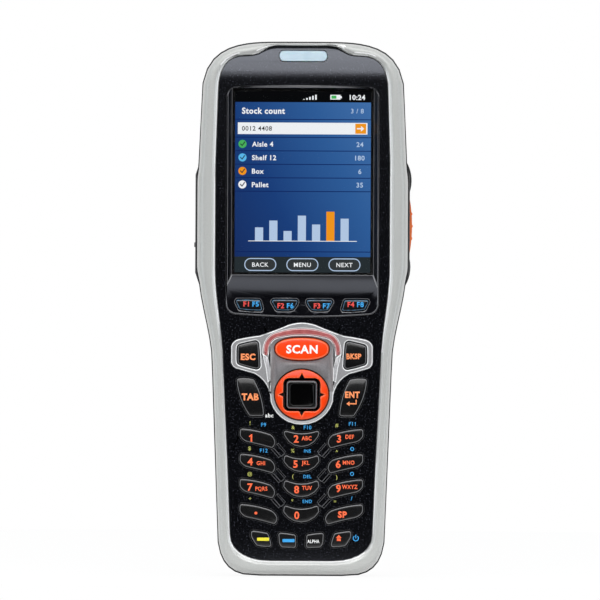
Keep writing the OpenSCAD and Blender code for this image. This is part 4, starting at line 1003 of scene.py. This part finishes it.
# Share of the floor's look that is even white: the rest keeps the object's shadow
floor_even = 0.93
floor_mesh = bpy.data.meshes.new("floor")
floor_shape = bmesh.new()
bmesh.ops.create_circle(floor_shape, cap_ends=True, segments=64, radius=floor_radius)
floor_shape.to_mesh(floor_mesh)
floor_shape.free()
floor = bpy.data.objects.new("floor", floor_mesh)
floor.location = (0, floor_back, -floor_gap)
scene.collection.objects.link(floor)
floor_white = new_finish("floor_white", (0.85, 0.85, 0.85), 0.9, Specular_IOR_Level=0.1)
floor_tree = floor_white.node_tree
floor_glow = floor_tree.nodes.new("ShaderNodeEmission")
floor_share = floor_tree.nodes.new("ShaderNodeMath")
floor_share.operation = "MULTIPLY"
floor_share.inputs[1].default_value = floor_even
floor_mix = floor_tree.nodes.new("ShaderNodeMixShader")
floor_tree.links.new(seen_directly(floor_tree), floor_share.inputs[0])
floor_tree.links.new(floor_share.outputs["Value"], floor_mix.inputs["Fac"])
floor_tree.links.new(floor_tree.nodes["Principled BSDF"].outputs["BSDF"], floor_mix.inputs[1])
floor_tree.links.new(floor_glow.outputs["Emission"], floor_mix.inputs[2])
floor_tree.links.new(floor_mix.outputs["Shader"], floor_tree.nodes["Material Output"].inputs["Surface"])
floor_mesh.materials.append(floor_white)
object_middle = Vector((0, 0, 0.085))
side_light = (0.88, 0.94, 1)


def soft_box(name, place, size, radiance, colour=(1, 1, 1)):
    """Rectangular lamp that faces the object: its place, width and height, and its brightness."""
    light = bpy.data.lights.new(name, "AREA")
    light.shape = "RECTANGLE"
    light.size, light.size_y = size
    light.energy = radiance * math.pi * size[0] * size[1]
    light.color = colour
    lamp = bpy.data.objects.new(name, light)
    lamp.location = place
    lamp.rotation_euler = (object_middle - Vector(place)).to_track_quat("-Z", "Y").to_euler()
    lamp.visible_camera = False
    scene.collection.objects.link(lamp)


soft_box("box_above", (0, -0.735, 0.52), (0.85, 0.56), 3.3)
for name, side in (("box_left", -1), ("box_right", 1)):
    soft_box(name, (side * 0.75, -0.42, 0.12), (0.35, 0.9), 2.4, side_light)


def rising(tree, value, low, high, start=0.0, end=1.0):
    """Ramp from start to end while value runs from low to high."""
    ramp = tree.nodes.new("ShaderNodeMapRange")
    for socket, number in (("From Min", low), ("From Max", high), ("To Min", start), ("To Max", end)):
        ramp.inputs[socket].default_value = number
    tree.links.new(value, ramp.inputs["Value"])
    return ramp.outputs["Result"]


# Brightness of the room in front of the object, and of the studio behind and above it
dark_room, bright_studio = 0.03, 1.1
world = bpy.data.worlds.new("studio")
scene.world = world
world.use_nodes = True
tree = world.node_tree
direction = tree.nodes.new("ShaderNodeTexCoord")
axes = tree.nodes.new("ShaderNodeSeparateXYZ")
tree.links.new(direction.outputs["Generated"], axes.inputs["Vector"])
behind = rising(tree, axes.outputs["Y"], 0.0, 0.35)
above = rising(tree, axes.outputs["Z"], 0.25, 0.8)
bright_side = combine(tree, "MAXIMUM", behind, above)
room_light = tree.nodes["Background"]
room_light.inputs["Color"].default_value = (0.96, 0.98, 1, 1)
brightness = rising(tree, bright_side, 0, 1, dark_room, bright_studio)
tree.links.new(brightness, room_light.inputs["Strength"])
backdrop = tree.nodes.new("ShaderNodeBackground")
backdrop.inputs["Color"].default_value = (1, 1, 1, 1)
camera_ray = tree.nodes.new("ShaderNodeLightPath").outputs["Is Camera Ray"]
mirrored_backdrop = combine(tree, "MULTIPLY", bright_side, seen_directly(tree))
choose = tree.nodes.new("ShaderNodeMixShader")
tree.links.new(combine(tree, "MAXIMUM", camera_ray, mirrored_backdrop), choose.inputs["Fac"])
tree.links.new(room_light.outputs["Background"], choose.inputs[1])
tree.links.new(backdrop.outputs["Background"], choose.inputs[2])
tree.links.new(choose.outputs["Shader"], tree.nodes["World Output"].inputs["Surface"])

# ---- Camera ----
# Three metres straight in front of the panel, level with the upper end of the grip, with a long lens. It is
# rolled by the little that the object leans.

camera_distance = 3.0
view_x, view_y, view_z = -0.0007, -0.0125, 0.0879
view_width = 0.1908
view_lean = 0.27
camera_data = bpy.data.cameras.new("camera")
camera_data.sensor_width = 36
camera_data.lens = camera_data.sensor_width * camera_distance / view_width
camera = bpy.data.objects.new("camera", camera_data)
scene.collection.objects.link(camera)
camera.location = (view_x, view_y - camera_distance, view_z)
camera.rotation_euler = (math.radians(90), math.radians(-view_lean), 0)
scene.camera = camera
